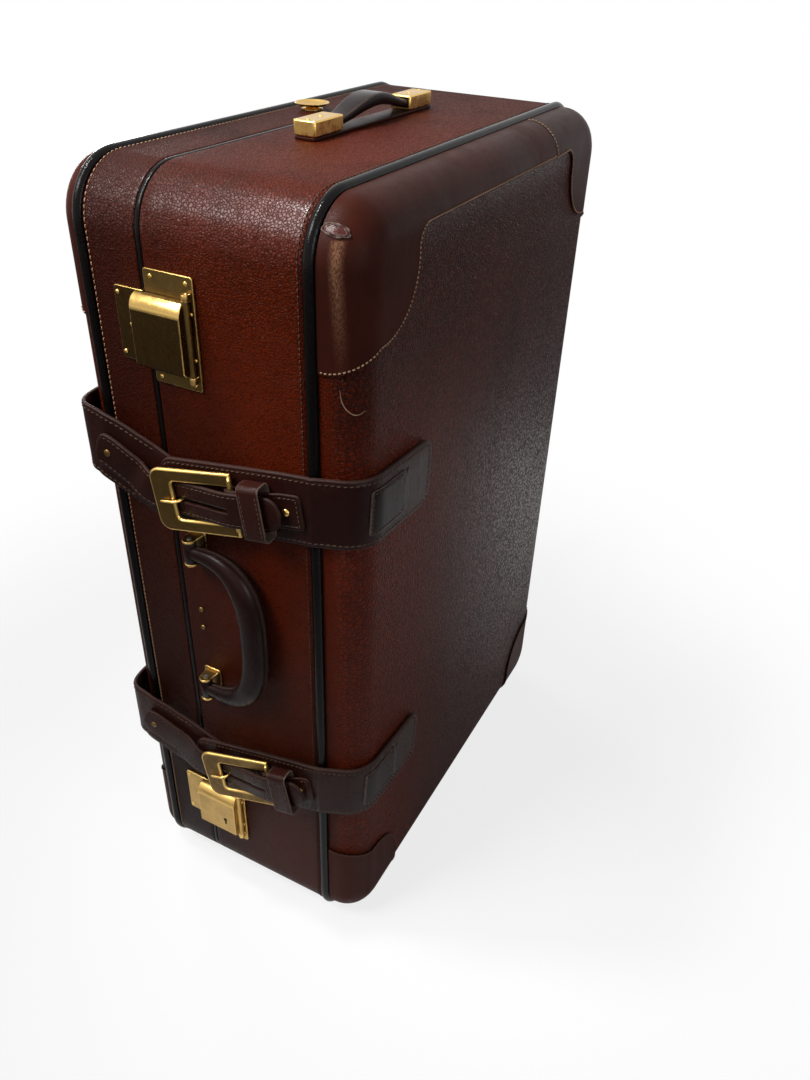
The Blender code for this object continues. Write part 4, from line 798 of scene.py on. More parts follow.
def resample(points, step):
    """Points at even steps along a line of points."""
    points = np.asarray(points, dtype=float)
    run = run_of(points)
    at = np.linspace(0, run[-1], max(2, int(round(run[-1] / step)) + 1))
    return np.column_stack([np.interp(at, run, points[:, k]) for k in range(points.shape[1])])


def run_of(points):
    """The distance along a line at each of its points."""
    return np.concatenate([[0], np.cumsum(np.linalg.norm(np.diff(points, axis=0), axis=1))])


class Strip:
    """A strap: its underside's middle line, the ways across and out, half widths and thickness."""

    def __init__(self, path, half, ply, across=None, ends=(0.0, 0.0), place=None):
        path = np.asarray(path, dtype=float)
        if place is not None:
            path = moved(place, path)
            across = across @ np.array(place.to_3x3()).T
        self.path, self.ply, self.half, self.ends = path, ply, half, ends
        tangent = unit(np.gradient(path, axis=0))
        if across is None:
            across = np.cross(unit(np.cross(tangent, np.array(UPRIGHT))), tangent)
        self.across = unit(across)
        self.out = unit(np.cross(tangent, self.across))
        self.run = run_of(path)
        self.widths = np.array([self.width_at(s) for s in self.run])

    def width_at(self, s):
        """Half the width at a distance along, less what its round ends take off."""
        total, cut = self.run[-1], 0.0
        for distance, radius in ((s, self.ends[0]), (total - s, self.ends[1])):
            if radius and distance < radius:
                reach = max(0.0, radius**2 - (radius - max(distance, 0.0)) ** 2)
                cut = max(cut, radius - sqrt(reach))
        return max(self.half - cut, LEAST_HALF)

    def at(self, s, v, lift=0.0):
        """A place on the outer face, and the way out there."""
        mix = [np.array([np.interp(s, self.run, rows[:, k]) for k in range(3)])
               for rows in (self.path, self.across, self.out)]
        return mix[0] + v * mix[1] + (self.ply + lift) * mix[2], mix[2]

    def build(self, name, swell=0.0002):
        """The strap as a piece, with rounded cut edges and a middle that swells."""
        ply, r = self.ply, self.ply * 0.36
        flat = np.linspace(-1, 1, 9)
        bends = [pi / 2 * i / 3 for i in range(4)]
        rings, cut, rim = [], [], []
        for middle, across, out, half in zip(self.path, self.across, self.out, self.widths):
            top = [(f * (half - r), ply + swell * (1 - f * f)) for f in flat]
            edge = [(half - r + r * sin(a), ply - r + r * cos(a)) for a in bends[1:]]
            edge += [(half - r + r * cos(a), r - r * sin(a)) for a in bends]
            below = [(f * (half - r), 0.0) for f in flat[::-1][1:-1]]
            v, n = np.array(top + edge + below + [(-v, n) for v, n in reversed(edge)]).T
            rings.append(middle + np.outer(v, across) + np.outer(n, out))
            cut += [0.0] * len(top) + [1.0] * len(edge) + [0.0] * len(below) + [1.0] * len(edge)
            rim += [half - abs(u) for u, _ in top] + [0.0] * len(edge)
            rim += [NO_RIM] * len(below) + [0.0] * len(edge)
        span = len(rings[0])
        cut[:span] = cut[-span:] = [1.0] * span
        return piece(name, skin(rings), 50, {"cut": cut, "rim": rim})

    def edge_line(self, inset, start, end, side):
        """A stitch line a little inside one edge: places and outward ways."""
        count = max(2, int((end - start) / 0.002))
        spots = np.linspace(start, end, count)
        return [self.at(s, side * max(self.width_at(s) - inset, 0.0)) for s in spots]

    def end_line(self, s, reach):
        """A stitch line across the strap."""
        return [self.at(s, v) for v in np.linspace(reach, -reach, 20)]

    def border(self, inset, start, end):
        """A stitch line up one edge, across an end and back down the other."""
        there = self.edge_line(inset, start, end - inset, 1)
        back = self.edge_line(inset, start, end - inset, -1)[::-1]
        return there + back


class Stitching:
    """Gathers stitches along lines and makes them one piece."""

    def __init__(self):
        self.points, self.faces = [], []

    def add(self, line, pitch=None, width=None, slant=0.12):
        """Sews along a line of places and outward ways."""
        sizes = bpy.context.scene.suitcase_sizes
        pitch = pitch or sizes.stitch_pitch
        radius = (width or sizes.thread_width) / 2
        places = np.array([p for p, _ in line])
        ways = np.array([w for _, w in line])
        run = run_of(places)
        for k in range(int(run[-1] / pitch)):
            middle = (k + 0.5) * pitch
            spots = [
                np.array([np.interp(middle + d * pitch, run, places[:, j]) for j in range(3)])
                for d in (-0.5 * STITCH_FILL, 0.0, 0.5 * STITCH_FILL)
            ]
            out = unit(np.array([np.interp(middle, run, ways[:, j]) for j in range(3)]))
            along = spots[2] - spots[0]
            length = np.linalg.norm(along)
            side = np.cross(out, along / max(length, 1e-9))
            if length < 1e-6 or np.linalg.norm(side) < 1e-6:
                continue
            along = unit(along / length + slant * unit(side))
            self.one(spots[1], along, np.cross(out, along), out, length, radius)
        return self

    def one(self, middle, along, side, out, length, radius):
        """One stitch, which dips into the leather at both ends."""
        turns = [2 * pi * i / STITCH_SIDES for i in range(STITCH_SIDES)]
        points, faces = skin([
            [middle + along * (t * length) + side * (radius * thick * cos(a))
             + out * (radius * (lift + thick * sin(a))) for a in turns]
            for t, lift, thick in STITCH_SHAPE])
        start = len(self.points)
        self.points += list(points)
        self.faces += [tuple(start + k for k in face) for face in faces]

    def build(self, name, body, finish="thread"):
        if not self.points:
            raise RuntimeError(f"{name} has no stitches")
        return settle(piece(name, (self.points, self.faces), 60), finish, body)


def plate_piece(name, outline, thickness, edge, place, smooth=40, rounds=2):
    """A plate with softened edges, centred on its place's own z = 0."""
    curve = bpy.data.curves.new("outline", "CURVE")
    curve.dimensions = "2D"
    curve.fill_mode = "BOTH"
    curve.extrude = thickness / 2 - edge
    curve.bevel_depth = edge
    curve.bevel_resolution = rounds
    curve.offset = -edge
    spline = curve.splines.new("POLY")
    spline.points.add(len(outline) - 1)
    for point, (u, v) in zip(spline.points, outline):
        point.co = (u, v, 0, 1)
    spline.use_cyclic_u = True
    helper = bpy.data.objects.new("outline", curve)
    bpy.context.scene.collection.objects.link(helper)
    graph = bpy.context.evaluated_depsgraph_get()
    mesh = bpy.data.meshes.new_from_object(helper.evaluated_get(graph))
    bpy.data.objects.remove(helper, do_unlink=True)
    bpy.data.curves.remove(curve)
    bm = bmesh.new()
    bm.from_mesh(mesh)
    bmesh.ops.remove_doubles(bm, verts=bm.verts, dist=1e-6)
    bmesh.ops.recalc_face_normals(bm, faces=bm.faces)
    bm.to_mesh(mesh)
    bm.free()
    mesh.materials.clear()
    mesh.transform(place)
    return stand(name, mesh, smooth)


def turned(name, profile, place, sides=40, smooth=40):
    """A turned piece: (radius, height) points spun about its own Z."""
    a = 2 * pi * np.arange(sides) / sides
    rings = []
    for r, h in ((max(r, 1e-5), h) for r, h in profile):
        rings.append(moved(place, np.column_stack([r * np.cos(a), r * np.sin(a), np.full(sides, h)])))
    return piece(name, skin(rings), smooth)


def barrel(name, radius, length, chamfer, place, sides):
    """A round bar with chamfered ends, along its place's own Z."""
    half = length / 2
    profile = [(radius - chamfer, -half), (radius, -half + chamfer),
               (radius, half - chamfer), (radius - chamfer, half)]
    return turned(name, profile, place, sides)


def bar(name, radius, half, place, sides):
    """A plain round bar along its place's own Z."""
    return turned(name, [(radius, -half), (radius, half)], place, sides)


def bore(obj, radius, half, place, sides):
    """Drills a round hole along a place's own Z."""
    return cut(obj, "DIFFERENCE", bar(obj.name + "_bore", radius, half, place, sides))


def cut_block(obj, low, high, place):
    """Cuts a plain block out of a piece."""
    low, high = Vector(low), Vector(high)
    bm = bmesh.new()
    made = bmesh.ops.create_cube(bm, size=1.0)["verts"]
    bmesh.ops.scale(bm, vec=high - low, verts=made)
    bmesh.ops.translate(bm, vec=(low + high) / 2, verts=made)
    mesh = bpy.data.meshes.new("block")
    bm.to_mesh(mesh)
    bm.free()
    mesh.transform(place)
    return cut(obj, "DIFFERENCE", stand("block", mesh))


def cut(obj, operation, other, keep=False):
    """Joins or cuts a piece with another, at once."""
    modifier = obj.modifiers.new("cut", "BOOLEAN")
    modifier.operation = operation
    modifier.object = other
    modifier.solver = "EXACT"
    bpy.context.view_layer.update()
    graph = bpy.context.evaluated_depsgraph_get()
    mesh = bpy.data.meshes.new_from_object(obj.evaluated_get(graph))
    obj.modifiers.clear()
    obj.data = mesh
    if len(mesh.polygons) == 0:
        raise RuntimeError(f"{obj.name} lost its faces to {other.name}")
    if not keep:
        bpy.data.objects.remove(other, do_unlink=True)
    return obj


def rivet(name, place, out, radius, rise, finish, body):
    """A domed rivet head set on a surface."""
    profile = [(radius, -RIVET_SEAT), (radius, rise * 0.25)]
    for a in (pi / 2 * i / 6 for i in range(1, 7)):
        profile.append((radius * cos(a), rise * (0.25 + 0.75 * sin(a))))
    turn = Vector(out).to_track_quat("Z", "Y").to_matrix().to_4x4()
    obj = turned(name, profile, shift(*place) @ turn, 20)
    return settle(mark_wear(obj) if finish == "brass" else obj, finish, body)


def rivet_row(name, spots, place, radius, rise, finish, body):
    """Numbered rivets at spots of a frame, facing along its own Z."""
    out = place.to_3x3() @ Vector(UPRIGHT)
    for index, spot in enumerate(spots):
        rivet(f"{name}_{index}", place @ Vector(spot), out, radius, rise, finish, body)


def ring_piece(name, section, finish, body, node, smooth=45, along=True):
    """A piece that runs round the case, from a section of (x, inset) points."""
    return settle(piece(name, skin(round_case(section), along), smooth), finish, body, (node,))


def shell_forms():
    """Each shell's name and side, and its face panel's start, rise, roll and crown."""
    crown = bpy.context.scene.suitcase_sizes.crown
    return (
        ("base", 1, BASE_PANEL_START, BASE_DEPTH + BASE_RISE - BASE_PANEL_START, BASE_ROLL, crown),
        ("lid", -1, LID_PANEL_START, LID_DEPTH + LID_RISE - LID_PANEL_START, LID_ROLL, crown * 0.5),
    )


def make_gusset(name, start, end, wall, seam_first):
    """A side band whose leather dips where it is sewn to the piping."""
    near, far = (start, end) if seam_first else (end, start)
    way = 1 if far > near else -1
    opening = ((0.0, 0.0008), (0.0003, 0.0003), (0.0010, 0.0))
    sewn = ((0.0060, 0.0), (0.0030, 0.0001), (0.0012, 0.0004), (0.0, 0.0011))
    section = [(near, wall)] + [(near + way * x, inset) for x, inset in opening]
    section += [(near + (far - near) * t, 0.0) for t in (0.06, 0.2, 0.5, 0.8)]
    section += [(far - way * x, inset) for x, inset in sewn] + [(far, wall)]
    ring_piece(name + "_leather", section, "case", name.split("_")[0], name)


def make_panel(shell, side, start, rise, roll, crown):
    """A domed face panel, hollow behind."""
    outer = dome_section(start, rise, roll, PANEL_INSET, side, crown)
    inner = dome_section(start, rise - PANEL_WALL, max(roll - PANEL_WALL, LEAST_ROLL),
                         PANEL_INSET + PANEL_WALL, side, 0.0, 4)
    section = outer[::-1] + inner
    ring_piece(shell + "_face_leather", section, "case", shell, shell + "_face_panel", along=False)


def make_piping(shell, x):
    """The cord-shaped piping between a side band and its face panel."""
    loop = case_loop(PIPING - PIPING_PROUD, **FINE_LOOP)
    path = np.column_stack([np.full(len(loop), x), loop])
    cord = tube(path, [PIPING] * len(path), 16, closed=True)
    settle(piece(shell + "_piping_leather", cord, 80), "piping", shell, (shell + "_piping",))


def make_lining(shell, inset, start, rise, side):
    """The cloth inside a shell, open at its mouth."""
    outer = dome_section(start, rise, LINING_ROUND, inset, side, 0.0, 4)
    inner = dome_section(start, rise - LINING, LINING_SOFT, inset + LINING, side, 0.0, 5)
    section = outer[::-1] + inner
    ring_piece(shell + "_lining_cloth", section, "lining", shell, shell + "_lining", along=False)


def edge_row(shell, x, finish):
    """The stitch line round a side band, beside its piping."""
    loop = case_loop(0.0, **FINE_LOOP)
    core = np.array([WIDTH / 2 - CORNER, LENGTH / 2 - CORNER])
    line = []
    for spot in np.vstack([loop, loop[:1]]):
        way = spot - np.clip(spot, -core, core)
        way = way / max(np.linalg.norm(way), 1e-9)
        line.append((np.array([x, *spot]), np.array([0.0, *way])))
    Stitching().add(line, *EDGE_STITCH).build(shell + "_edge_stitching", shell, finish)


class SUITCASE_OT_shells(bpy.types.Operator):
    """Side bands, domed face panels, piping, binding, rim and linings"""

    bl_idname = "suitcase.shells"
    bl_label = "Case shells"

    def execute(self, context):
        make_gusset("base_gusset", GAP, BASE_DEPTH - PIPING - GAP, BASE_WALL, True)
        make_gusset("lid_gusset", -(LID_DEPTH - PIPING - GAP), -BINDING - GAP, LID_WALL, False)
        half = BINDING / 2
        bead = [(-BINDING, LID_WALL), (-BINDING, BEAD)]
        bead += [(-half - half * cos(a), BEAD - BEAD * sin(a))
                 for a in (pi * i / 8 for i in range(1, 8))]
        bead = [(min(x, -GAP), inset) for x, inset in bead + [(-GAP, BEAD), (-GAP, LID_WALL)]]
        ring_piece("lid_binding_leather", bead, "piping", "lid", "lid_edge_binding", 60)
        near = BASE_WALL + GAP
        far = near + RIM_WALL
        lip = ((0.0010, 0.0), (0.0003, 0.0004), (0.0, 0.0012))
        rim = [(RIM_SEAT, near)] + [(-RIM_REACH + x, near + inset) for x, inset in lip]
        rim += [(-RIM_REACH + x, far - inset) for x, inset in reversed(lip)] + [(RIM_SEAT, far)]
        ring_piece("base_rim_board", rim, "rim", "base", "base_rim_frame")
        for form in shell_forms():
            make_panel(*form)
        make_piping("base", BASE_DEPTH)
        make_piping("lid", -LID_DEPTH)
        make_lining("base", BASE_WALL + RIM_WALL + 2 * GAP, GAP, BASE_PANEL_START - 2 * GAP, 1)
        mouth = RIM_REACH + SEAM_CLEARANCE
        make_lining("lid", 2 * PIPING - PIPING_PROUD + GAP, mouth, LID_PANEL_START - GAP - mouth, -1)
        edge_row("base", BASE_DEPTH - PIPING - EDGE_STITCH_IN, "dark_thread")
        edge_row("lid", -(LID_DEPTH - PIPING - EDGE_STITCH_IN), "thread")
        return {"FINISHED"}


def corner_outline():
    """A patch over the corner at +Y +Z: level below, round inside, upright to the top edge."""
    left, low = WIDTH / 2 - PATCH_WIDTH, LENGTH / 2 - PATCH_HEIGHT
    right, top = WIDTH / 2 + PATCH_WIDTH, LENGTH / 2 + PATCH_WIDTH
    inner = arc((left + PATCH_ROUND, low + PATCH_ROUND), PATCH_ROUND, 180, 270, 24)
    droop = (right - inner[-1][0]) * PATCH_DROOP
    return [(right, top), (left, top)] + inner + [(right, low - droop)]


def banded_outline():
    """The front top corner patch and the band that runs back from it along the top edge."""
    corner = [(-y, z) for y, z in corner_outline()][2:]
    edge = corner[0][0]
    low = LENGTH / 2 - BAND_HEIGHT
    fillet = arc((edge + BAND_FILLET, low - BAND_FILLET), BAND_FILLET, 90, 180, 12)
    above = LENGTH / 2 + PATCH_HEIGHT
    return [(corner[-1][0], above), (BAND_END, above), (BAND_END, low)] + fillet + corner


def far_outline():
    """The back top corner patch, whose front edge flares out to meet the band's end."""
    corner = corner_outline()[2:]
    start = BAND_END + 2 * GAP
    low = LENGTH / 2 - BAND_HEIGHT
    edge, bend = corner[0]
    flare = min(edge - start, low - bend - GAP)
    fillet = arc((edge - flare, low - flare), flare, 90, 0, 12)
    above = LENGTH / 2 + PATCH_HEIGHT
    return [(corner[-1][0], above), (start, above), (start, low)] + fillet + corner


def solid_dome(name, start, rise, roll, inset, side, crown):
    """A filled panel form, to be cut to a patch or out of one."""
    section = dome_section(start, rise, roll, inset, side, crown, 10)
    return piece(name, skin(round_case(section)), 45)


def panel_height(y, z, rise, roll, inset, crown):
    """How far a panel's face stands above its mouth at a place, and the outward way there."""
    half_w, half_l = WIDTH / 2 - inset, LENGTH / 2 - inset
    radius = CORNER - inset
    sign_y, sign_z = copysign(1, y), copysign(1, z)
    qy, qz = abs(y) - (half_w - radius), abs(z) - (half_l - radius)
    if qy > 0 and qz > 0:
        reach = hypot(qy, qz)
        deep = radius - reach
        way = (qy / reach * sign_y, qz / reach * sign_z)
    else:
        deep = min(half_w - abs(y), half_l - abs(z))
        way = (sign_y, 0) if half_w - abs(y) < half_l - abs(z) else (0, sign_z)
    if deep >= roll:
        share = min(1.0, (deep - roll) / (WIDTH / 2 - inset - roll))
        return rise + crown * (1 - (1 - share) ** 2), (1.0, 0.0, 0.0)
    c = 1 - max(deep, 0.0) / roll
    s = sqrt(max(0.0, 1 - c * c))
    return rise - roll + roll * s, (s, way[0] * c, way[1] * c)


def offset_inside(outline, inset, skip):
    """Points of an outline's inner edge, from the skipped ones on, drawn into the patch."""
    line = outline[skip:]
    drawn = []
    area = sum(a[0] * b[1] - b[0] * a[1] for a, b in zip(outline, outline[1:] + outline[:1]))
    sign = 1.0 if area > 0 else -1.0
    for i, point in enumerate(line):
        a, b = line[max(i - 1, 0)], line[min(i + 1, len(line) - 1)]
        ty, tz = b[0] - a[0], b[1] - a[1]
        size = hypot(ty, tz)
        drawn.append((point[0] - sign * tz / size * inset, point[1] + sign * ty / size * inset))
    return drawn


def stitch_line(drawn, side, start, grown, crown):
    """A line laid on a patch, and taken down to the panel's mouth at both ends."""
    limit = grown[2] + 0.00003
    line = []
    for y, z in resample(drawn, 0.0003):
        if abs(y) > WIDTH / 2 - limit or abs(z) > LENGTH / 2 - limit:
            continue
        height, way = panel_height(y, z, *grown, crown)
        line.append((np.array([side * (start + height), y, z]), np.array([side * way[0], *way[1:]])))
    first, last = ((np.array([side * (start + STITCH_FOOT), *spot[1:]]), way)
                   for spot, way in (line[0], line[-1]))
    return [first] + line + [last]


def make_fold(start, rise, roll):
    """The pinched fold in the front top patch, beside the piping: a lens and its frayed rim."""
    roll, rise, radius = roll + PATCH_GROW, rise + PATCH_GROW, CORNER - PANEL_INSET + PATCH_GROW
    middle_y = -(WIDTH / 2 - PANEL_INSET + PATCH_GROW - radius)
    middle_z = LENGTH / 2 - PANEL_INSET + PATCH_GROW - radius
    turns = 2 * pi * np.arange(40) / 40

    def spot(turn, share, lift):
        """A place on the rounded corner, by its turn round the fold and share of its size."""
        run = FOLD_RUN + FOLD_LENGTH * share * cos(turn)
        around = radians(FOLD_TURN + FOLD_WIDTH * share * sin(turn))
        a = max(0.0, run - (rise - roll)) / roll
        reach = radius - roll * (1 - cos(a)) + lift * cos(a)
        x = start + min(run, rise - roll) + roll * sin(a) + lift * sin(a)
        return [x, middle_y + reach * cos(around), middle_z + reach * sin(around)]

    lens = skin([[spot(t, share, lift) for t in turns] for share, lift in FOLD_SECTION])
    settle(piece("base_patch_fold_leather", lens, 60), "fold", "base")
    for name, share, lift, thick in (("rim", 1.0, 0.0001, 0.00055), ("lip", 0.74, 0.0004, 0.00040)):
        path = [spot(t, share * (1.0 + 0.05 * sin(5 * t)), lift) for t in turns]
        radii = [thick * (1.0 + 0.35 * sin(7 * t)) for t in turns]
        settle(piece("base_patch_fold_" + name, tube(path, radii, 10, closed=True), 60), "edge", "base")


def scuff(start, rise, roll, crown):
    """A curled scrape in the face's leather, below the front top patch."""
    line = curve_through([(y, z, 0.0) for y, z in SCUFF], 0.0008)
    path = [[start + panel_height(y, z, rise, roll, PANEL_INSET, crown)[0], y, z] for y, z, _ in line]
    share = np.linspace(0, 1, len(path))
    scrape = tube(path, 0.0001 + 0.00030 * np.sin(pi * share), 10)
    settle(piece("base_face_scuff", scrape, 60), "thread", "base")


def flag_edges(obj, edge):
    """Gives the narrow cut faces round a patch the dark finish of a dyed edge."""
    line = resample(edge, 0.0005)
    obj.data.materials.clear()
    obj.data.materials.append(FINISHES["patch"])
    obj.data.materials.append(FINISHES["piping"])
    for face in obj.data.polygons:
        away = min(np.hypot(line[:, 0] - face.center.y, line[:, 1] - face.center.z))
        face.material_index = 1 if away < 0.0003 else 0


class SUITCASE_OT_patches(bpy.types.Operator):
    """Dark leather corner patches over both face panels, with their stitching"""

    bl_idname = "suitcase.patches"
    bl_label = "Corner patches"

    def execute(self, context):
        corner = corner_outline()
        outlines = {
            "top_patch": (banded_outline(), 2),
            "far_corner_patch": (far_outline(), 1),
            "low_front_patch": ([(-y, -z) for y, z in corner], 1),
            "low_back_patch": ([(y, -z) for y, z in corner], 1),
        }
        forms = shell_forms()
        for shell, side, start, rise, roll, crown in forms:
            inner = solid_dome(shell + "_form", start - FORM_PAST, rise + GAP + FORM_PAST, roll + GAP,
                               PANEL_INSET - GAP, side, crown)
            grown = (rise + PATCH_GROW, roll + PATCH_GROW, PANEL_INSET - PATCH_GROW)
            pale_row, dark_row = Stitching(), Stitching()
            for patch, (outline, skip) in outlines.items():
                name = f"{shell}_{patch}"
                obj = solid_dome(name + "_leather", start, *grown, side, crown)
                place = shift(side * (start + rise + GAP), 0, 0) @ FACING_X
                form = plate_piece(name + "_form", outline, 2 * rise, SHARP, place, rounds=0)
                cut(obj, "DIFFERENCE", inner, keep=True)
                cut(obj, "INTERSECT", form)
                flag_edges(obj, outline[skip:])
                smoothed(obj.data, 40)
                settle(obj, "patch", shell, (name,))
                drawn = offset_inside(outline, PATCH_STITCH_IN, skip)
                line = stitch_line(drawn, side, start, grown, crown)
                (dark_row if patch.startswith("low") else pale_row).add(line, *PATCH_STITCH)
            pale_row.build(shell + "_patch_stitching", shell)
            dark_row.build(shell + "_low_patch_stitching", shell, "dark_thread")
            bpy.data.objects.remove(inner, do_unlink=True)
        make_fold(*forms[0][2:5])
        scuff(*forms[0][2:6])
        return {"FINISHED"}


def sagging(distance, before, after, easing):
    """The height of a strap at a distance from its corner, eased from one slope to the other."""
    bow = sqrt(distance**2 + easing**2) - easing
    return (before - after) / 2 * distance - (before + after) / 2 * bow


def base_strap(middle, heel_x, tilt):
    """The strap from the seam over the piping, round the panel's roll, to its stitched end."""
    slope = tan(STRAP_OUTWARD)
    flat_end = BASE_DEPTH - 2 * PIPING
    flat = []
    for x in (STRAP_SEAM + (flat_end - STRAP_SEAM) * i / 8 for i in range(9)):
        flat.append((x, FRONT - max(STRAP_LIFT, BASE_STRAP_LIFT + (heel_x - x) * slope)))
    piping_middle = np.array([BASE_DEPTH, FRONT + PIPING - PIPING_PROUD])
    roll_middle = np.array([BASE_DEPTH + BASE_RISE - BASE_ROLL, FRONT + PANEL_INSET + BASE_ROLL])
    near, wide = PIPING + 2 * GAP, BASE_ROLL + 2 * GAP
    apart = roll_middle - piping_middle
    spread = acos((near - wide) / np.linalg.norm(apart))
    lean = degrees(atan2(apart[1], apart[0])) - degrees(spread)
    over = arc(piping_middle, near, -100, lean, 4)
    roll = arc(roll_middle, wide, lean, 0, 14)
    side, left = BASE_DEPTH + BASE_RISE + 2 * GAP, FRONT + STRAP_ANCHOR - roll_middle[1]
    back = [(side, roll_middle[1] + left * i / 6) for i in range(1, 7)]
    level = np.array([(x, y, 0.0) for x, y in flat + over + roll + back])
    corner_at = run_of(level)[len(flat) + 2]
    path = curve_through(level, STRAP_STEP)
    path[:, 2] = [middle + sagging(corner_at - s, STRAP_SAG, tan(tilt), STRAP_WIDTH / 4)
                  for s in run_of(path)]
    deep = np.clip((path[:, 1] - roll_middle[1]) / (WIDTH / 2 - PANEL_INSET - BASE_ROLL), 0, 1)
    crown = bpy.context.scene.suitcase_sizes.crown
    path[:, 0] += np.where(path[:, 1] > roll_middle[1], crown * (1 - (1 - deep) ** 2), 0.0)
    return Strip(path, STRAP_WIDTH / 2, STRAP_PLY, ends=(STRAP_ROUND, STRAP_ROUND)), corner_at


def lid_control():
    """Points that lead the lid strap from its end on the lid's face to its tip on the front."""
    face = -(LID_DEPTH + LID_RISE + 2 * GAP)
    return [
        (face, FRONT + STRAP_ANCHOR, 0), (face, FRONT + STRAP_ANCHOR * 0.6, 0),
        (face - LID_STAND * 0.35, FRONT + STRAP_ANCHOR * 0.22, 0), (face, FRONT - LID_STAND * 0.45, 0),
        (-LID_DEPTH, FRONT - LID_STAND, 0), (-LID_DEPTH * 0.6, FRONT - LID_STAND * 0.86, 0),
        (-LID_DEPTH * 0.2, FRONT - LID_STAND * 0.58, 0), (LID_UNDER, FRONT - LID_STAND * 0.34, 0),
    ]


def lid_strap(middle):
    """The strap from its end on the lid's face, round the front corner, under the base strap."""
    path = curve_through(lid_control(), STRAP_STEP)
    run = run_of(path)
    corner_at = run[np.argmin(np.hypot(path[:, 0] + LID_DEPTH, path[:, 1] - FRONT + LID_STAND))]
    path[:, 2] = [middle + sagging(s - corner_at, 0.0, LID_SLOPE, STRAP_WIDTH / 4) for s in run]
    return Strip(path, STRAP_WIDTH / 2, LID_PLY, ends=(STRAP_ROUND, 0.0))


def lid_strap_lift(x):
    """How far the lid strap's outer face stands off the front at a place."""
    stops = [(at, FRONT - y) for at, y, _ in lid_control()[4:]]
    for (x0, lift0), (x1, lift1) in zip(stops, stops[1:]):
        if x <= x1:
            return lift0 + (lift1 - lift0) * max(0.0, (x - x0) / (x1 - x0)) + LID_PLY
    return stops[-1][1] + LID_PLY


def strap_place(spec):
    """The frame on a buckle's heel bar, the bar's place on the front, and its run to the corner."""
    run = BASE_DEPTH - spec["heel"]
    heel = (spec["heel"], spec["middle"] - run * tan(spec["tilt"]))
    turn = Euler((0, STRAP_OUTWARD, spec["tilt"])).to_matrix().to_4x4()
    return FRONT_FACE @ shift(*heel, HEEL_LIFT) @ turn, heel, run


def billet_strap(middle, heel, tilt, keeper_start, place):
    """The narrow tongue from the lid strap, under the buckle's bar, over its heel, to its tip."""
    bar_edge = BUCKLE_LENGTH - BUCKLE_BAR
    under = bar_edge * sin(BUCKLE_LEAN) - BUCKLE_PLY / 2 - 2 * GAP - BILLET_PLY
    over = HEEL + CHAPE_PLY + 3 * GAP
    turn = Matrix.Rotation(tilt, 2)
    heel = Vector(heel)
    tail = turn.transposed() @ (Vector((-LID_DEPTH, middle)) - heel)
    slope = atan(LID_SLOPE)
    control = []
    for along, share in BILLET_TAIL:
        x = -BUCKLE_LENGTH + (tail.x + BUCKLE_LENGTH) * along
        spot = heel + turn @ Vector((x, tail.y * share))
        line = middle - LID_SLOPE * (spot.x + LID_DEPTH)
        station = spot.x - (spot.y - line) * cos(slope) * sin(slope)
        lift = lid_strap_lift(station) + BILLET_LIFT
        if spot.x > -STRAP_ROUND:
            lift = max(lift, HEEL_LIFT - HEEL - CHAPE_PLY - x * sin(STRAP_OUTWARD) + 3 * GAP)
        control.append((x, tail.y * share, lift - HEEL_LIFT + x * sin(STRAP_OUTWARD)))
    control += [
        (-bar_edge - BUCKLE_BAR / 2, 0, under), (-bar_edge, 0, under),
        (-bar_edge / 2, 0, (under + over) / 2), (-2 * HEEL, 0, over), (3 * HEEL, 0, over),
        (keeper_start + KEEPER_WIDTH / 2, 0, over - BILLET_SETTLE),
        (keeper_start + KEEPER_WIDTH + BILLET_PAST, 0, over - CHAPE_PLY * 1.5),
    ]
    path = curve_through(control, BILLET_STEP)
    across = np.cross(np.array(UPRIGHT), np.gradient(path, axis=0))
    return Strip(path, BILLET_WIDTH / 2, BILLET_PLY, across, (BILLET_ROUND, BILLET_WIDTH * 0.45), place)


def chape_strap(run, keeper_start, place):
    """The leather that folds round the heel bar and runs on through the keeper to the corner."""
    inner = HEEL + GAP
    face = -HEEL - CHAPE_PLY - GAP
    keeper_end = keeper_start + KEEPER_WIDTH
    clear = face + KEEPER_PLY + 2 * GAP
    end = run - CHAPE_BACK
    drop = min(keeper_end + 4 * CHAPE_PLY, (keeper_end + end) / 2)
    path = [(CHAPE_RETURN, -inner), (CHAPE_RETURN / 2, -inner)] + arc((0, 0), inner, 270, 90, 8)
    path += [(keeper_start, inner - BILLET_SETTLE), (keeper_end, clear), (drop, face), (end, face)]
    path = resample([(u, 0.0, v) for u, v in path], CHAPE_STEP)
    across = np.tile(np.array([[0.0, 1.0, 0.0]]), (len(path), 1))
    return Strip(path, CHAPE_WIDTH / 2, CHAPE_PLY, across, (0.0, CHAPE_ROUND), place)


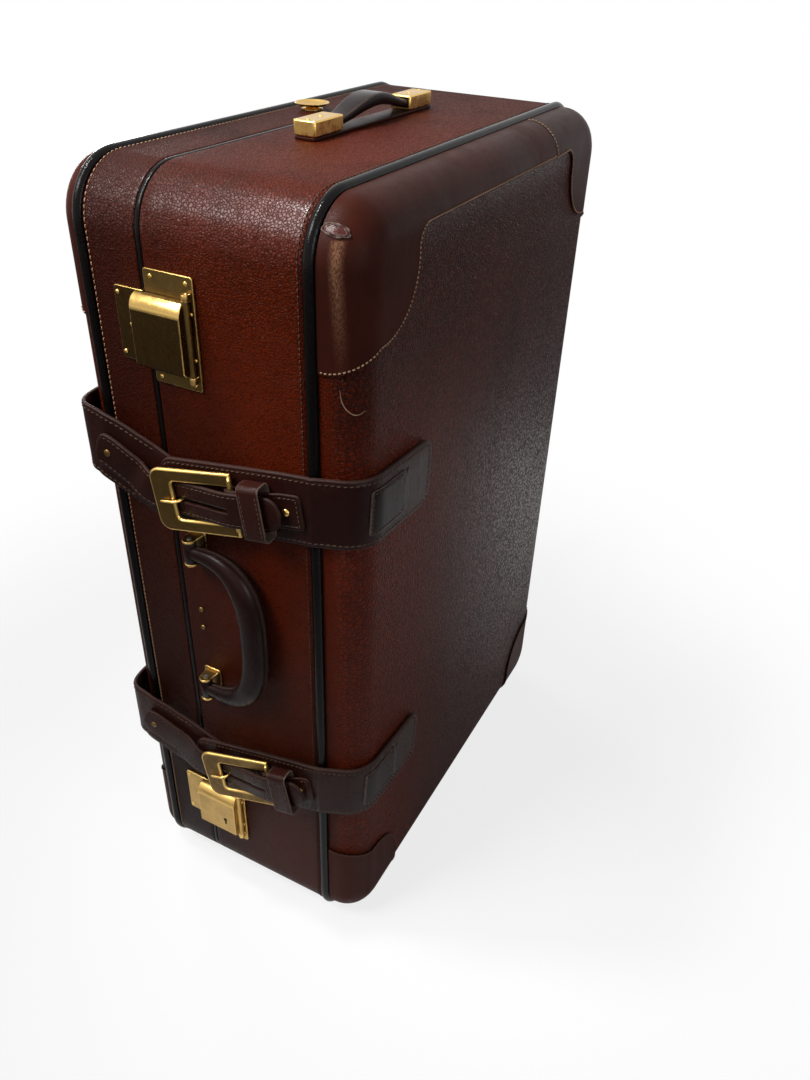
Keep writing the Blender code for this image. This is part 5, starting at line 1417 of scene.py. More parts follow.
def keeper_loop(keeper_start, place):
    """The loop that holds the billet's tip: a flat band bent round, with soft corners."""
    low = -HEEL - CHAPE_PLY - GAP
    top = HEEL + CHAPE_PLY + BILLET_PLY + KEEPER_PLY + 6 * GAP
    height = CHAPE_WIDTH + 2 * KEEPER_SLACK + 2 * KEEPER_PLY
    half_h, half_d = height / 2 - KEEPER_PLY, (top - low) / 2 - KEEPER_PLY
    middle = (low + top) / 2
    loop = np.array(rounded_plate(2 * half_h, 2 * half_d, KEEPER_ROUND, steps=6))
    tangent = np.roll(loop, -1, axis=0) - np.roll(loop, 1, axis=0)
    normal = unit(np.column_stack([tangent[:, 1], -tangent[:, 0]]))
    ply, r, half = KEEPER_PLY, KEEPER_SOFT, KEEPER_WIDTH / 2
    inside = [(-half, r, 1), (-half + r, 0, 1), (half - r, 0, 1), (half, r, 1)]
    edge = [(half, ply - r, 1), (half - r * 0.6, ply - r * 0.2, 1)]
    face = [(half - r - KEEPER_LINE, ply, 0), (half * 0.5, ply, 0)]
    other = [(-u, lift, cut_face) for u, lift, cut_face in reversed(edge + face)]
    rings, cuts, rims = [], [], []
    for u, lift, cut_face in inside + edge + face + [(0, ply, 0)] + other:
        flat = loop + normal * lift
        along = np.full(len(flat), keeper_start + half + u)
        rings.append(moved(place, np.column_stack([along, flat[:, 0], middle + flat[:, 1]])))
        cuts += [float(cut_face)] * len(flat)
        rims += [half - abs(u)] * len(flat)
    flags = {"cut": cuts, "rim": rims}
    return skin(rings, along=True), flags, middle + half_d + ply, half_h - KEEPER_ROUND


def end_box(strap, near, far, ply):
    """A strip let into the strap's outer face near its end."""
    inside = (strap.run >= near) & (strap.run <= far)
    path = strap.path[inside] + strap.out[inside] * (strap.ply - BOX_SUNK)
    return Strip(path, BOX_HALF, ply, strap.across[inside], (BOX_ROUND, BOX_ROUND))


def base_half(name, spec, inset, row):
    """The base's strap, with the stitched box and, past it, a near-black strip that paints in the shade of a
    pressed line, closing its end.
    """
    strap, corner_at = base_strap(spec["middle"], spec["heel"], spec["tilt"])
    settle(strap.build(name + "_base_strap_leather"), "strap", "base", (name + "_base_strap",))
    total, near, far = strap.run[-1], corner_at + BOX_NEAR, corner_at + BOX_FAR
    row.add(strap.border(inset, STITCH_START, total))
    row.add(strap.end_line(total - inset, strap.half - END_STITCH_SHORT))
    box = end_box(strap, near, far, BOX_PLY)
    settle(box.build(name + "_strap_box_leather", 0.0003), "grip", "base")
    # A near-black strip past the box: painted shade of a pressed line
    shade_strip = end_box(strap, far + SHADE_STRIP_START, far + SHADE_STRIP_END, SHADE_STRIP_PLY)
    settle(shade_strip.build(name + "_strap_box_groove", 0.0), "piping", "base")
    span = np.linspace(BOX_STITCH_IN, box.run[-1] - BOX_STITCH_IN, 24)
    side = box.half - BOX_STITCH_IN
    for v in (-side, side):
        row.add([box.at(s, v) for s in span], *BOX_STITCH)
    for s in (span[0], span[-1]):
        row.add(box.end_line(s, -side), *BOX_STITCH)


def lid_half(name, spec, inset, row):
    lid = lid_strap(spec["middle"] + LID_RAISE)
    settle(lid.build(name + "_lid_strap_leather"), "strap", "lid", (name + "_lid_strap",))
    for side in (1, -1):
        row.add(lid.edge_line(inset, LID_STITCH_START, lid.run[-1] - LID_STITCH_SHORT, side))
    row.add(lid.end_line(inset, END_STITCH_SHORT - lid.half))


def make_billet(name, spec, heel, place, inset, row):
    """The billet, with a slot in which the prong can turn."""
    billet = billet_strap(spec["middle"] + LID_RAISE, heel, spec["tilt"], spec["keeper"], place)
    tongue = billet.build(name + "_billet_leather", 0.0004)
    half = PRONG + GAP
    cut_block(tongue, (-BUCKLE_LENGTH + BUCKLE_BAR - SLOT_PAST_BAR, -half, -BUCKLE_PLY * 2),
              (SLOT_PAST_HEEL, half, 4 * BUCKLE_PLY), place)
    settle(tongue, "strap", "lid", (name + "_billet",))
    end = billet.run[-1] - BILLET_STITCH_SHORT
    for side in (1, -1):
        row.add(billet.edge_line(inset * 0.8, STITCH_START, end, side), None, BILLET_THREAD)
    return billet


def make_chape(name, run, keeper_start, place, row):
    """The chape, with a slot at its fold for the prong."""
    chape = chape_strap(run, keeper_start, place)
    fold = chape.build(name + "_chape_leather", 0.0)
    inner = HEEL + GAP
    cut_block(fold, (-3 * inner, -PRONG_SLOT / 2, -3 * inner),
              (2.2 * inner, PRONG_SLOT / 2, 3 * inner), place)
    settle(fold, "strap", "base", (name + "_chape",))
    past_keeper = run - CHAPE_BACK - keeper_start - KEEPER_WIDTH
    start = chape.run[-1] - past_keeper + CHAPE_STITCH_START
    row.add(chape.border(CHAPE_STITCH_IN, start, chape.run[-1]), *SMALL_STITCH)
    return chape


def keeper(name, keeper_start, place, row):
    band, flags, lift, half_h = keeper_loop(keeper_start, place)
    settle(piece(name + "_keeper_leather", band, 50, flags), "keeper", "base", (name + "_keeper",))
    out = np.array(place.to_3x3()) @ np.array(UPRIGHT)
    for u in (KEEPER_STITCH_IN, KEEPER_WIDTH - KEEPER_STITCH_IN):
        line = moved(place, [(keeper_start + u, v, lift) for v in np.linspace(-half_h, half_h, 24)])
        row.add([(p, out) for p in line], *SMALL_STITCH)


class SUITCASE_OT_straps(bpy.types.Operator):
    """Base and lid straps, billets, chapes and keepers, with their stitching and studs"""

    bl_idname = "suitcase.straps"
    bl_label = "Straps"

    def execute(self, context):
        inset = context.scene.suitcase_sizes.stitch_inset
        for name, spec in STRAPS.items():
            place, heel, run = strap_place(spec)
            base_row, lid_row = Stitching(), Stitching()
            base_half(name, spec, inset, base_row)
            lid_half(name, spec, inset, lid_row)
            billet = make_billet(name, spec, heel, place, inset, lid_row)
            lid_row.build(name + "_lid_strap_stitching", "lid", "dark_thread")
            chape = make_chape(name, run / cos(spec["tilt"]), spec["keeper"], place, base_row)
            keeper(name, spec["keeper"], place, base_row)
            base_row.build(name + "_base_strap_stitching", "base", "dark_thread")
            spot, way = chape.at(chape.run[-1] - CHAPE_STUD_IN, 0.0)
            rivet(name + "_chape_stud", spot, way, *STRAP_STUD, "brass", "base")
            spot, way = billet.at(BILLET_STUD_IN, 0.0)
            rivet(name + "_billet_stud", spot, way, *STRAP_STUD, "buckle", "lid")
        return {"FINISHED"}


def cast(name, lean):
    """A frame that is open at its heel, where the bar closes it."""
    half_h, left, small = BUCKLE_HEIGHT / 2, -BUCKLE_LENGTH, BUCKLE_ROUND / 3
    inner_left, inner_top = left + BUCKLE_BAR, half_h - BUCKLE_SIDE
    upper = [(HEEL, inner_top), (HEEL, half_h)]
    upper += arc((left + BUCKLE_ROUND, half_h - BUCKLE_ROUND), BUCKLE_ROUND, 90, 180, 14)
    window = arc((inner_left + small, inner_top - small), small, 180, 90, 6)
    outline = upper + [(u, -v) for u, v in reversed(upper)]
    outline += [(u, -v) for u, v in reversed(window)] + window
    obj = plate_piece(name + "_buckle_brass", outline, BUCKLE_PLY, BUCKLE_EDGE, lean, 50, 4)
    cut(obj, "UNION", bar(name + "_heel_bar", HEEL, half_h - BUCKLE_SIDE / 2, lean @ ALONG_Y, 20))
    settle(mark_wear(obj), "buckle", name + "_buckle", (name + "_buckle_frame",))


def prong(name, lean):
    """A tapered tongue on a barrel that turns on the heel bar."""
    rest = BUCKLE_PLY / 2 + PRONG + GAP
    low, clear, bend = -PRONG_BARREL, PRONG + 2 * GAP, BUCKLE_BAR - BUCKLE_LENGTH
    rail = [
        (-PRONG_BARREL * 0.6, 0, low * 0.2), (bend * 0.4, 0, low), (bend + 4 * clear, 0, low * 1.5),
        (bend + 1.9 * clear, 0, 0), (bend + 0.7 * clear, 0, rest * 0.9),
        (bend - 1.5 * clear, 0, rest), (bend - BUCKLE_BAR * 0.6, 0, rest),
    ]
    path = curve_through(rail, PRONG_STEP)
    share = np.linspace(0, 1, len(path))
    radii = PRONG * (1.0 - 0.25 * share) * np.sqrt(np.clip((1.02 - share) / 0.05, 0.08, 1.0))
    obj = piece(name + "_prong_brass", tube(moved(lean, path), radii, 14), 60)
    axis = lean @ ALONG_Y
    cut(obj, "UNION", barrel(name + "_eye", PRONG_BARREL, PRONG_BARREL_LENGTH, PRONG_CHAMFER, axis, 24))
    bore(obj, HEEL + GAP, PRONG_BORE, axis, 24)
    settle(mark_wear(obj), "brass", name + "_prong", (name + "_prong",))


class SUITCASE_OT_buckles(bpy.types.Operator):
    """Cast brass buckle frames and their prongs"""

    bl_idname = "suitcase.buckles"
    bl_label = "Buckles"

    def execute(self, context):
        for name, spec in STRAPS.items():
            lean = strap_place(spec)[0] @ Euler((0, BUCKLE_LEAN, 0)).to_matrix().to_4x4()
            cast(name, lean)
            prong(name, lean)
        return {"FINISHED"}


def hasp_section(margin, steps):
    """The hasp from its end, as (height, lift): a chamfer below, a flat face, a round crown."""
    low, high = -HASP_HEIGHT / 2 + margin, HASP_HEIGHT / 2 - margin
    foot, face = PLATE_TOP + HASP_LIFT, PLATE_TOP + HASP_RISE - margin
    crown = HASP_CROWN - margin
    drop = face - foot - HASP_EDGE_DROP
    points = [(low, foot), (low, face - HASP_CHAMFER), (low + HASP_CHAMFER, face)]
    for i in range(steps + 1):
        turn = pi / 2 * i / steps
        points.append((high - crown + crown * sin(turn), face - drop + drop * cos(turn)))
    return points + [(high, foot)]


def sheet(name, width, height, middle, lock):
    """A flat plate on the leather."""
    outline = rounded_plate(width, height, PLATE_ROUND, middle)
    place = lock @ shift(0, 0, GAP + PLATE_PLY / 2)
    return plate_piece(name, outline, PLATE_PLY, PLATE_EDGE, place)


def make_plate(name, lock, finish, radius):
    """The base's plate, with two lugs for the hasp's pin."""
    middle = (SEAM_CLEARANCE + PLATE_WIDTH / 2, PLATE_SHIFT)
    obj = sheet(name + "_lock_plate_brass", PLATE_WIDTH, PLATE_HEIGHT, middle, lock)
    foot = PLATE_TOP - PLATE_PLY / 2 - HASP_AXIS_LIFT
    lug = [(KNUCKLE, foot)] + arc((0, 0), KNUCKLE, 0, 180, 16) + [(-KNUCKLE, foot)]
    axis = lock @ shift(HASP_AXIS_X, 0, HASP_AXIS_LIFT)
    lug_at = HASP_HEIGHT / 2 + GAP + LUG_LENGTH / 2
    for side in (-1, 1):
        spot = axis @ shift(0, side * lug_at, 0) @ ALONG_Y
        cut(obj, "UNION", plate_piece(name + "_lug", lug, LUG_LENGTH, LUG_EDGE, spot))
    bore(obj, HASP_PIN + GAP, LOCK_BORE, axis @ ALONG_Y, 16)
    settle(mark_wear(obj), finish, "base", (name + "_lock_plate",))
    top, low = PLATE_SHIFT + PLATE_HEIGHT / 2, PLATE_SHIFT - PLATE_HEIGHT / 2
    spots = [(0.0065, top - 0.0045), (0.0345, top - 0.0045), (0.0365, top - 0.024),
             (0.0365, low + 0.022), (0.0065, low + 0.0045), (0.0345, low + 0.0045)]
    rivet_row(name + "_plate_rivet", [(u, v, PLATE_TOP) for u, v in spots], lock,
              radius, PLATE_RIVET_RISE, "brass", "base")


def hasp(name, lock, finish):
    """The hollow hasp on its knuckle, with a doorway for the strike's tongue."""
    left, right = -HASP_OVERHANG, HASP_AXIS_X - KNUCKLE / 2
    spot = lock @ (shift((left + right) / 2, 0, 0) @ FACING_X)
    obj = plate_piece(name + "_hasp_brass", hasp_section(0, 16), right - left, HASP_EDGE, spot, 35)
    axis = lock @ shift(HASP_AXIS_X, 0, HASP_AXIS_LIFT) @ ALONG_Y
    cut(obj, "UNION", bar(name + "_knuckle", KNUCKLE, HASP_HEIGHT / 2, axis, 24))
    inside = [(y, z if z > PLATE_TOP + HASP_LIFT else 0) for y, z in hasp_section(HASP_WALL, 10)]
    near, far = left + HASP_WALL, HASP_AXIS_X - KNUCKLE - HASP_WALL
    spot = lock @ shift((near + far) / 2, 0, 0) @ FACING_X
    cut(obj, "DIFFERENCE", plate_piece(name + "_pocket", inside, far - near, SHARP, spot))
    half, top = TONGUE_WIDTH / 2 + SEAM_CLEARANCE, PLATE_TOP + TONGUE_LIFT + TONGUE_PLY
    cut_block(obj, (left - HASP_WALL, -half, 0), (left + 2 * HASP_WALL, half, top + 2 * GAP), lock)
    bore(obj, HASP_PIN + GAP, LOCK_BORE, axis, 16)
    if name == "lower":
        keyhole(obj, lock @ shift(0, 0, PLATE_TOP + HASP_RISE))
    spare = (HASP_AXIS_X, FRONT - HASP_AXIS_LIFT, KNUCKLE + 2 * GAP)
    settle(mark_wear(obj, spare, HASP_HIGHLIGHT_TILT), finish, name + "_hasp", (name + "_lock_hasp",))


def keyhole(obj, face):
    """A round eye with a slot below it, cut through the hasp's face."""
    outline = rounded_plate(
        KEY_SLOT_WIDTH, KEY_SLOT_HEIGHT, KEY_SLOT_ROUND, (KEY_X, KEY_Z - KEY_SLOT_DROP), 4)
    cut(obj, "DIFFERENCE", plate_piece("key_slot", outline, KEY_DEPTH, SHARP, face))
    bore(obj, KEY_RADIUS, KEY_DEPTH / 2, face @ shift(KEY_X, KEY_Z, 0), 24)


def strike(name, lock, finish):
    """The lid's plate, with a notched tongue that the bolt holds."""
    middle = (-SEAM_CLEARANCE - STRIKE_WIDTH / 2, 0)
    obj = sheet(name + "_strike_brass", STRIKE_WIDTH, STRIKE_HEIGHT, middle, lock)
    step = HASP_OVERHANG + SEAM_CLEARANCE
    foot, under = GAP + PLATE_PLY / 2, PLATE_TOP + TONGUE_LIFT
    top = under + TONGUE_PLY
    side = [(-step - 2 * TONGUE_PLY, foot), (-step, foot), (-step, under), (TONGUE_LENGTH, under),
            (TONGUE_LENGTH, top), (-step - 2 * TONGUE_PLY, top)]
    cut(obj, "UNION", plate_piece(name + "_tongue", side, TONGUE_WIDTH, TONGUE_EDGE, lock @ ALONG_Y))
    bolt_x, half = SEAM_CLEARANCE * 2 + BOLT_WIDTH / 2, BOLT_WIDTH / 2 + 2 * GAP
    notch_top = -TONGUE_WIDTH / 2 - SEAM_CLEARANCE + BOLT_TRAVEL + 2 * GAP
    cut_block(obj, (bolt_x - half, -TONGUE_WIDTH, under - TONGUE_PLY / 2),
              (bolt_x + half, notch_top, top + TONGUE_PLY), lock)
    settle(mark_wear(obj), finish, "lid", (name + "_lock_strike",))
    spots = ((-0.0228, 0.0205), (-0.0140, 0.0), (-0.0228, -0.0205))
    rivet_row(name + "_strike_rivet", [(u, v, PLATE_TOP) for u, v in spots], lock,
              *STRIKE_RIVET, "brass", "lid")


class SUITCASE_OT_locks(bpy.types.Operator):
    """Lock plates, hollow hasps, strikes, and the rivets that hold them"""

    bl_idname = "suitcase.locks"
    bl_label = "Locks"

    def execute(self, context):
        # The lower lock takes the lighter brass copy, its bright reflection painted in
        for name, way, plate, handled in (("upper", 1, "dull", "lock"), ("lower", -1, "lit_lock_brass", "lit_lock_brass")):
            lock = FRONT_FACE @ shift(0, way * LOCK_SPREAD / 2, 0)
            make_plate(name, lock, plate, context.scene.suitcase_sizes.rivet)
            hasp(name, lock, handled)
            strike(name, lock, handled)
            for node in ("hasp_pin", "lock_bolt"):
                dress(f"{name}_{node}", "steel")
        return {"FINISHED"}


def dress(node, finish):
    """Gives a CAD node that stays a finish."""
    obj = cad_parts[node]
    if isinstance(obj, str):
        obj = bpy.data.objects[obj]
    obj.data.materials.clear()
    obj.data.materials.append(FINISHES[finish])


def grip(axis, half):
    """A flattened round section along a C, with flags for its seam line on the inner side."""
    corner = HANDLE_REACH - GRIP_BEND
    near, reach = corner * 0.35, corner + GRIP_BEND * 0.8
    turns = np.radians(np.linspace(0, 90, 15)[1:-1])
    arch = [(near + (HANDLE_REACH - near) * sin(t) ** GRIP_ARCH, half * cos(t) ** GRIP_ARCH)
            for t in turns]
    upper = [(0, half), (corner * 0.3, half)] + arch
    line = upper + [(x, -y) for x, y in reversed(upper)]
    path = curve_through([(x, y, 0.0) for x, y in line], GRIP_STEP)
    swelling = np.minimum(1.0, (np.maximum(path[:, 0], 0) / reach) ** GRIP_GROWTH)
    radii = GRIP_END * (1.0 + (GRIP_RADIUS / GRIP_END - 1.0) * swelling)
    rings, cuts = [], []
    for spot, way, radius in zip(path, unit(np.gradient(path, axis=0)), radii):
        outward = np.array([-way[1], way[0], 0.0])
        ring = []
        for a in (2 * pi * i / GRIP_SIDES for i in range(GRIP_SIDES)):
            c, s = cos(a), sin(a)
            u = copysign(abs(c) ** GRIP_SQUARE, c) * radius
            w = copysign(abs(s) ** GRIP_SQUARE, s) * radius * GRIP_FLATTEN
            ring.append(spot + outward * u + np.array([0.0, 0.0, w]))
            cuts.append(GRIP_SEAM_PALE if abs(c) > GRIP_SEAM else 0.0)
        rings.append(moved(axis, ring))
    flags = {"cut": cuts, "rim": [NO_RIM] * len(cuts)}
    return piece("carry_handle_leather", skin(rings), 45, flags)


def bracket(name, axis, height):
    """A foot on the leather with two ears that hold the grip's pin."""
    lug_at = BARREL / 2 + GAP + BRACKET_LUG / 2
    foot_height = 2 * (lug_at + BRACKET_LUG / 2 + BRACKET_FOOT)
    base = GAP + BRACKET_PLY / 2 - HANDLE_LIFT
    outline = rounded_plate(BRACKET_WIDTH, foot_height, PLATE_ROUND)
    place = axis @ shift(0, height, base)
    obj = plate_piece(name + "_bracket_brass", outline, BRACKET_PLY, PLATE_EDGE, place)
    spread = BRACKET_WIDTH / 2 - PLATE_ROUND
    ear = arc((0, 0), GRIP_END, 0, 180, 18) + [(-spread, base), (spread, base)]
    for side in (-1, 1):
        spot = axis @ shift(0, height + side * lug_at, 0) @ ALONG_Y
        cut(obj, "UNION", plate_piece(name + "_ear", ear, BRACKET_LUG, LUG_EDGE, spot))
    spot = axis @ shift(0, height, 0) @ ALONG_Y
    bore(obj, HANDLE_PIN + GAP, BRACKET_BORE, spot, 20)
    settle(mark_wear(obj), "dull", "base", (name + "_handle_bracket",))


class SUITCASE_OT_carry_handle(bpy.types.Operator):
    """The C-shaped leather grip, its brackets and pins, and the two bumper studs"""

    bl_idname = "suitcase.carry_handle"
    bl_label = "Carry handle"

    def execute(self, context):
        axis = FRONT_FACE @ shift(HANDLE_X, HANDLE_Z, HANDLE_LIFT)
        half = HANDLE_SPREAD / 2
        ends = ((half, "upper"), (-half, "lower"))
        obj = grip(axis, half)
        for height, name in ends:
            spot = axis @ shift(0, height, 0) @ ALONG_Y
            cut(obj, "UNION", barrel(name + "_loop", GRIP_END, BARREL, BARREL_CHAMFER, spot, 28))
        bore(obj, HANDLE_PIN + GAP, GRIP_BORE, axis @ ALONG_Y, 20)
        smoothed(obj.data, 45)
        settle(obj, "grip", "carry_handle", ("carry_handle_grip",))
        for height, name in ends:
            bracket(name, axis, height)
            dress(name + "_handle_pin", "steel")
        spots = [(BUMPER_X, v, 0.0) for v in BUMPER_HEIGHTS]
        rivet_row("bumper_stud", spots, FRONT_FACE, *BUMPER_STUD, "dull", "base")
        return {"FINISHED"}


def make_strap(place, floor, inner_end):
    """The padded strap, which rises and widens from its caps to its middle."""
    low = floor + (CAP_HEIGHT - END_STRAP) / 2
    reach = inner_end + END_ENTRY
    corner = END_ROUND - 0.0001
    rings, cuts = [], []
    for y in np.linspace(-reach, reach, 73):
        rise = cos(pi / 2 * min(1.0, abs(y) / inner_end)) ** 1.5
        bottom = low + END_ARCH * rise
        top = bottom + END_STRAP + END_FULLNESS * rise
        half = END_STRAP_WIDTH / 2 + END_SWELL / 2 * rise
        ring = rounded_plate(2 * half, top - bottom, END_ROUND, (0, (top + bottom) / 2), 4)
        rings.append(moved(place, [(u, y, v) for u, v in ring]))
        cuts += [END_EDGE_PALE if abs(u) > half - corner and v > top - corner else 0.0 for u, v in ring]
    flags = {"cut": cuts, "rim": [NO_RIM] * len(cuts)}
    strap = piece("end_handle_leather", skin(rings), 50, flags)
    settle(strap, "grip", "base", ("end_handle_strap",))


def cap(name, way, place, floor, inner_end, radius):
    """A hollow brass cap with soft corners, open towards the strap."""
    middle_y = way * (inner_end + CAP_LENGTH / 2)
    outline = rounded_plate(END_WIDTH, CAP_LENGTH, CAP_ROUND, (0, middle_y), 5)
    spot = place @ shift(0, 0, floor + CAP_HEIGHT / 2)
    obj = plate_piece(f"end_{name}_cap_brass", outline, CAP_HEIGHT, CAP_EDGE, spot, 45)
    half = END_WIDTH / 2 - CAP_WALL
    near, deep = sorted((way * (inner_end - CAP_WALL), way * (inner_end + END_ENTRY + GAP)))
    cut_block(obj, (-half, near, floor + CAP_WALL), (half, deep, floor + CAP_HEIGHT - CAP_WALL), place)
    settle(mark_wear(obj), "brass", "base", (f"end_handle_{name}_cap",))
    spots = [(0, way * (inner_end + CAP_LENGTH * share), floor + CAP_HEIGHT) for share in CAP_RIVETS]
    rivet_row(f"end_{name}_cap_rivet", spots, place, radius, CAP_RIVET_RISE, "brass", "base")


class SUITCASE_OT_end_handle(bpy.types.Operator):
    """The arched strap handle on the top end, its brass caps, and the dished button"""

    bl_idname = "suitcase.end_handle"
    bl_label = "End handle and button"

    def execute(self, context):
        place = shift(END_X, END_Y, LENGTH / 2)
        outline = rounded_plate(END_WIDTH, END_LENGTH, PLATE_ROUND)
        spot = place @ shift(0, 0, GAP + END_BASE / 2)
        strip = plate_piece("end_handle_base_strip", outline, END_BASE, STRIP_EDGE, spot)
        settle(strip, "patch", "base", ("end_handle_base",))
        floor = 2 * GAP + END_BASE
        inner_end = END_LENGTH / 2 - CAP_LENGTH
        for way, name in ((-1, "front"), (1, "back")):
            cap(name, way, place, floor, inner_end, context.scene.suitcase_sizes.rivet)
        make_strap(place, floor, inner_end)
        profile = [(r * BUTTON_RADIUS, h * BUTTON_HEIGHT) for r, h in BUTTON_PROFILE]
        spot = shift(-LID_DEPTH / 2, BUTTON_Y, LENGTH / 2 + GAP)
        button = turned("lid_button_brass", profile, spot, 48, 50)
        settle(mark_wear(button), "brass", "lid", ("lid_end_button",))
        return {"FINISHED"}


def screw(name, spot, body):
    """A slotted screw head that faces backwards."""
    turn = Vector((0, 1, 0)).to_track_quat("Z", "Y").to_matrix().to_4x4()
    place = shift(*spot) @ turn
    obj = turned(name, SCREW_HEAD, place, 24)
    cut_block(obj, *SCREW_SLOT, place)
    settle(mark_wear(obj), "brass", body)


class SUITCASE_OT_hinges(bpy.types.Operator):
    """Brass butt hinges on the back, their pins and screws"""

    bl_idname = "suitcase.hinges"
    bl_label = "Hinges"

    def execute(self, context):
        for name in ("upper", "lower"):
            for body, way in (("base", 1), ("lid", -1)):
                leaf = f"{name}_hinge_{body}_leaf"
                dress(leaf, "brass")
                low, high = (Vector(c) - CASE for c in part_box(leaf))
                for index, (share, aside) in enumerate(SCREW_SPOTS):
                    spot = (way * SCREW_X + way * aside, WIDTH / 2 + GAP + SCREW_Y,
                            low.z + (high.z - low.z) * share)
                    screw(f"{name}_{body}_hinge_screw_{index}", spot, body)
            dress(name + "_hinge_pin", "steel")
        return {"FINISHED"}


# Each lamp's name, place, aim, size, spread in degrees and power
LAMPS = (
    ("key lamp", (-0.45, -0.85, 1.40), (0.03, -0.10, 0.40), (0.55, 0.55), 60, 2.6),
    ("top lamp", (-0.36, -0.35, 1.60), (0.02, -0.14, 0.62), (0.13, 0.17), 45, 1.00),
    ("side lamp", (1.35, -0.45, 0.85), (0.10, 0.00, 0.34), (0.50, 0.50), 60, 0.9),
    ("fill lamp", (-1.35, 0.85, 0.58), (0.00, 0.05, 0.30), (0.50, 0.50), 60, 1.8),
    ("back lamp", (0.75, 0.95, 0.80), (0.34, 0.62, 0.00), (0.35, 0.35), 40, 0.55),
)
FLOOR_HALF, FLOOR_DROP = 6, 0.0002
CAMERA_LENS, CAMERA_SENSOR, CAMERA_CLIP = 30.163, 36.0, (0.02, 30.0)
CAMERA_PLACE = (0.36069, -0.63783, 0.78864)
# The camera's ways right, up and back
CAMERA_TURN = ((0.88453, 0.46529, 0.03315), (-0.28689, 0.48659, 0.82518), (0.36782, -0.73941, 0.56390))


def rays(start):
    """Whether a ray comes from the camera, from a mirror, or through a clear surface."""
    path = start.node("ShaderNodeLightPath").output.node
    return [Socket(start.tree, path.outputs[kind])
            for kind in ("Is Camera Ray", "Is Glossy Ray", "Is Transmission Ray")]


def floor_finish():
    """Pale card that keeps the case's shadow near it and goes to white further off."""
    material, place = new_finish("pale floor")
    tree = material.node_tree
    direct, glossy, clear = rays(place)
    mirrored = glossy.math("MAXIMUM", glossy, clear)
    away = place.node("ShaderNodeVectorMath", {"operation": "LENGTH"}, {0: place}, out=1)
    share = direct * away.ease(0.30, 0.80, 0.78) + mirrored * away.ease(2.4, 4.0)
    wire(material, rough=place.noise(30, 2) * 0.1 + 0.85, Base_Color=(0.86, 0.86, 0.86, 1.0))
    white = place.node("ShaderNodeEmission", None, {"Color": (1, 1, 1, 1), "Strength": 1.0})
    card = Socket(tree, tree.nodes["Principled BSDF"].outputs[0])
    both = place.node("ShaderNodeMixShader", None, {0: share, 1: card, 2: white})
    tree.links.new(both.output, tree.nodes["Material Output"].inputs["Surface"])
    return material


def surroundings(scene):
    """Weak cool light all round, which looks white to the camera and in mirrors."""
    world = bpy.data.worlds.new("surroundings")
    world.use_nodes = True
    scene.world = world
    tree = world.node_tree
    light = tree.nodes["Background"]
    light.inputs["Color"].default_value = (0.95, 0.97, 1.0, 1.0)
    light.inputs["Strength"].default_value = 0.12
    start = Socket(tree, light.outputs[0])
    seen, *others = rays(start)
    for other in others:
        seen = seen.math("MAXIMUM", seen, other)
    white = start.node("ShaderNodeBackground", None, {"Color": (1, 1, 1, 1), "Strength": 1.0})
    both = start.node("ShaderNodeMixShader", None, {0: seen, 1: start, 2: white})
    tree.links.new(both.output, tree.nodes["World Output"].inputs["Surface"])


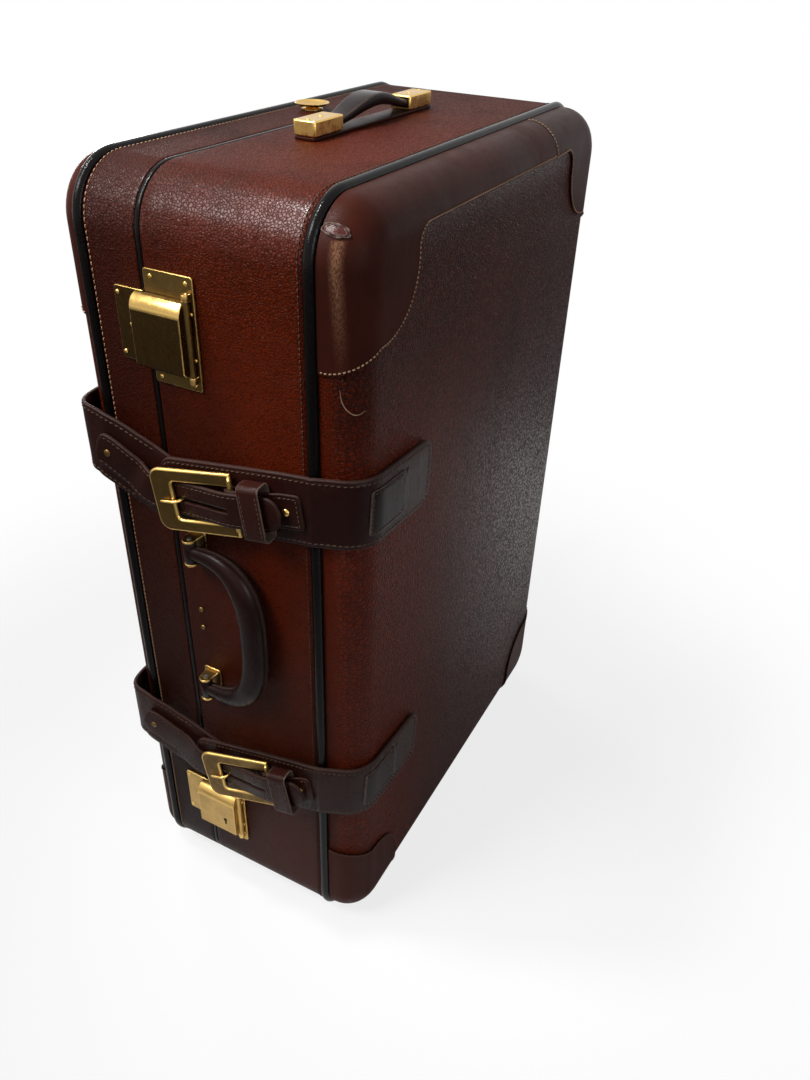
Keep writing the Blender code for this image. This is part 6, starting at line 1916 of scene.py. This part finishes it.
class SUITCASE_OT_stage(bpy.types.Operator):
    """Pale floor, soft lamps, white surroundings and the camera"""

    bl_idname = "suitcase.stage"
    bl_label = "Stage"

    def execute(self, context):
        scene = context.scene
        scene.view_settings.view_transform = "Standard"
        half = FLOOR_HALF
        mesh = bpy.data.meshes.new("floor")
        corners = [(-half, -half, 0), (half, -half, 0), (half, half, 0), (-half, half, 0)]
        mesh.from_pydata(corners, [], [(0, 1, 2, 3)])
        floor = bpy.data.objects.new("floor", mesh)
        scene.collection.objects.link(floor)
        floor.location.z = -FLOOR_DROP
        floor.data.materials.append(floor_finish())
        surroundings(scene)
        for name, spot, aim, size, beam, power in LAMPS:
            lamp = bpy.data.lights.new(name, "AREA")
            lamp.shape, lamp.energy = "RECTANGLE", power
            lamp.size, lamp.size_y = size
            lamp.spread = radians(beam)
            obj = bpy.data.objects.new(name, lamp)
            scene.collection.objects.link(obj)
            obj.location = spot
            obj.visible_camera = False
            obj.rotation_euler = (Vector(aim) - Vector(spot)).to_track_quat("-Z", "Y").to_euler()
        camera = bpy.data.cameras.new("camera")
        camera.lens, camera.sensor_width = CAMERA_LENS, CAMERA_SENSOR
        camera.clip_start, camera.clip_end = CAMERA_CLIP
        obj = bpy.data.objects.new("camera", camera)
        scene.collection.objects.link(obj)
        obj.matrix_world = shift(*CAMERA_PLACE) @ Matrix(CAMERA_TURN).transposed().to_4x4()
        scene.camera = obj
        return {"FINISHED"}


OPERATORS = (
    SUITCASE_OT_shells, SUITCASE_OT_patches, SUITCASE_OT_straps, SUITCASE_OT_buckles, SUITCASE_OT_locks,
    SUITCASE_OT_carry_handle, SUITCASE_OT_end_handle, SUITCASE_OT_hinges, SUITCASE_OT_stage,
)


class SUITCASE_PT_making(bpy.types.Panel):
    """Sizes, colours and making steps of the suitcase"""

    bl_idname = "SUITCASE_PT_making"
    bl_label = "Leather suitcase"
    bl_space_type = "VIEW_3D"
    bl_region_type = "UI"
    bl_category = "Suitcase"

    def draw(self, context):
        for group in ("suitcase_leather", "suitcase_brass", "suitcase_sizes"):
            settings = getattr(context.scene, group)
            box = self.layout.box()
            for key in settings.__annotations__:
                box.prop(settings, key)
        for operator in OPERATORS:
            self.layout.operator(operator.bl_idname)


CLASSES = (LeatherLook, BrassLook, MakingSizes, *OPERATORS, SUITCASE_PT_making)


def register():
    for made in CLASSES:
        bpy.utils.register_class(made)
    bpy.types.Scene.suitcase_leather = bpy.props.PointerProperty(type=LeatherLook)
    bpy.types.Scene.suitcase_brass = bpy.props.PointerProperty(type=BrassLook)
    bpy.types.Scene.suitcase_sizes = bpy.props.PointerProperty(type=MakingSizes)


def unregister():
    for key in ("suitcase_leather", "suitcase_brass", "suitcase_sizes"):
        delattr(bpy.types.Scene, key)
    for made in reversed(CLASSES):
        bpy.utils.unregister_class(made)


def main():
    register()
    make_finishes()
    bpy.ops.suitcase.stage()
    bpy.ops.suitcase.shells()
    bpy.ops.suitcase.patches()
    bpy.ops.suitcase.straps()
    bpy.ops.suitcase.buckles()
    bpy.ops.suitcase.locks()
    bpy.ops.suitcase.carry_handle()
    bpy.ops.suitcase.end_handle()
    bpy.ops.suitcase.hinges()
    bpy.context.view_layer.update()


if __name__ == "__main__":
    main()
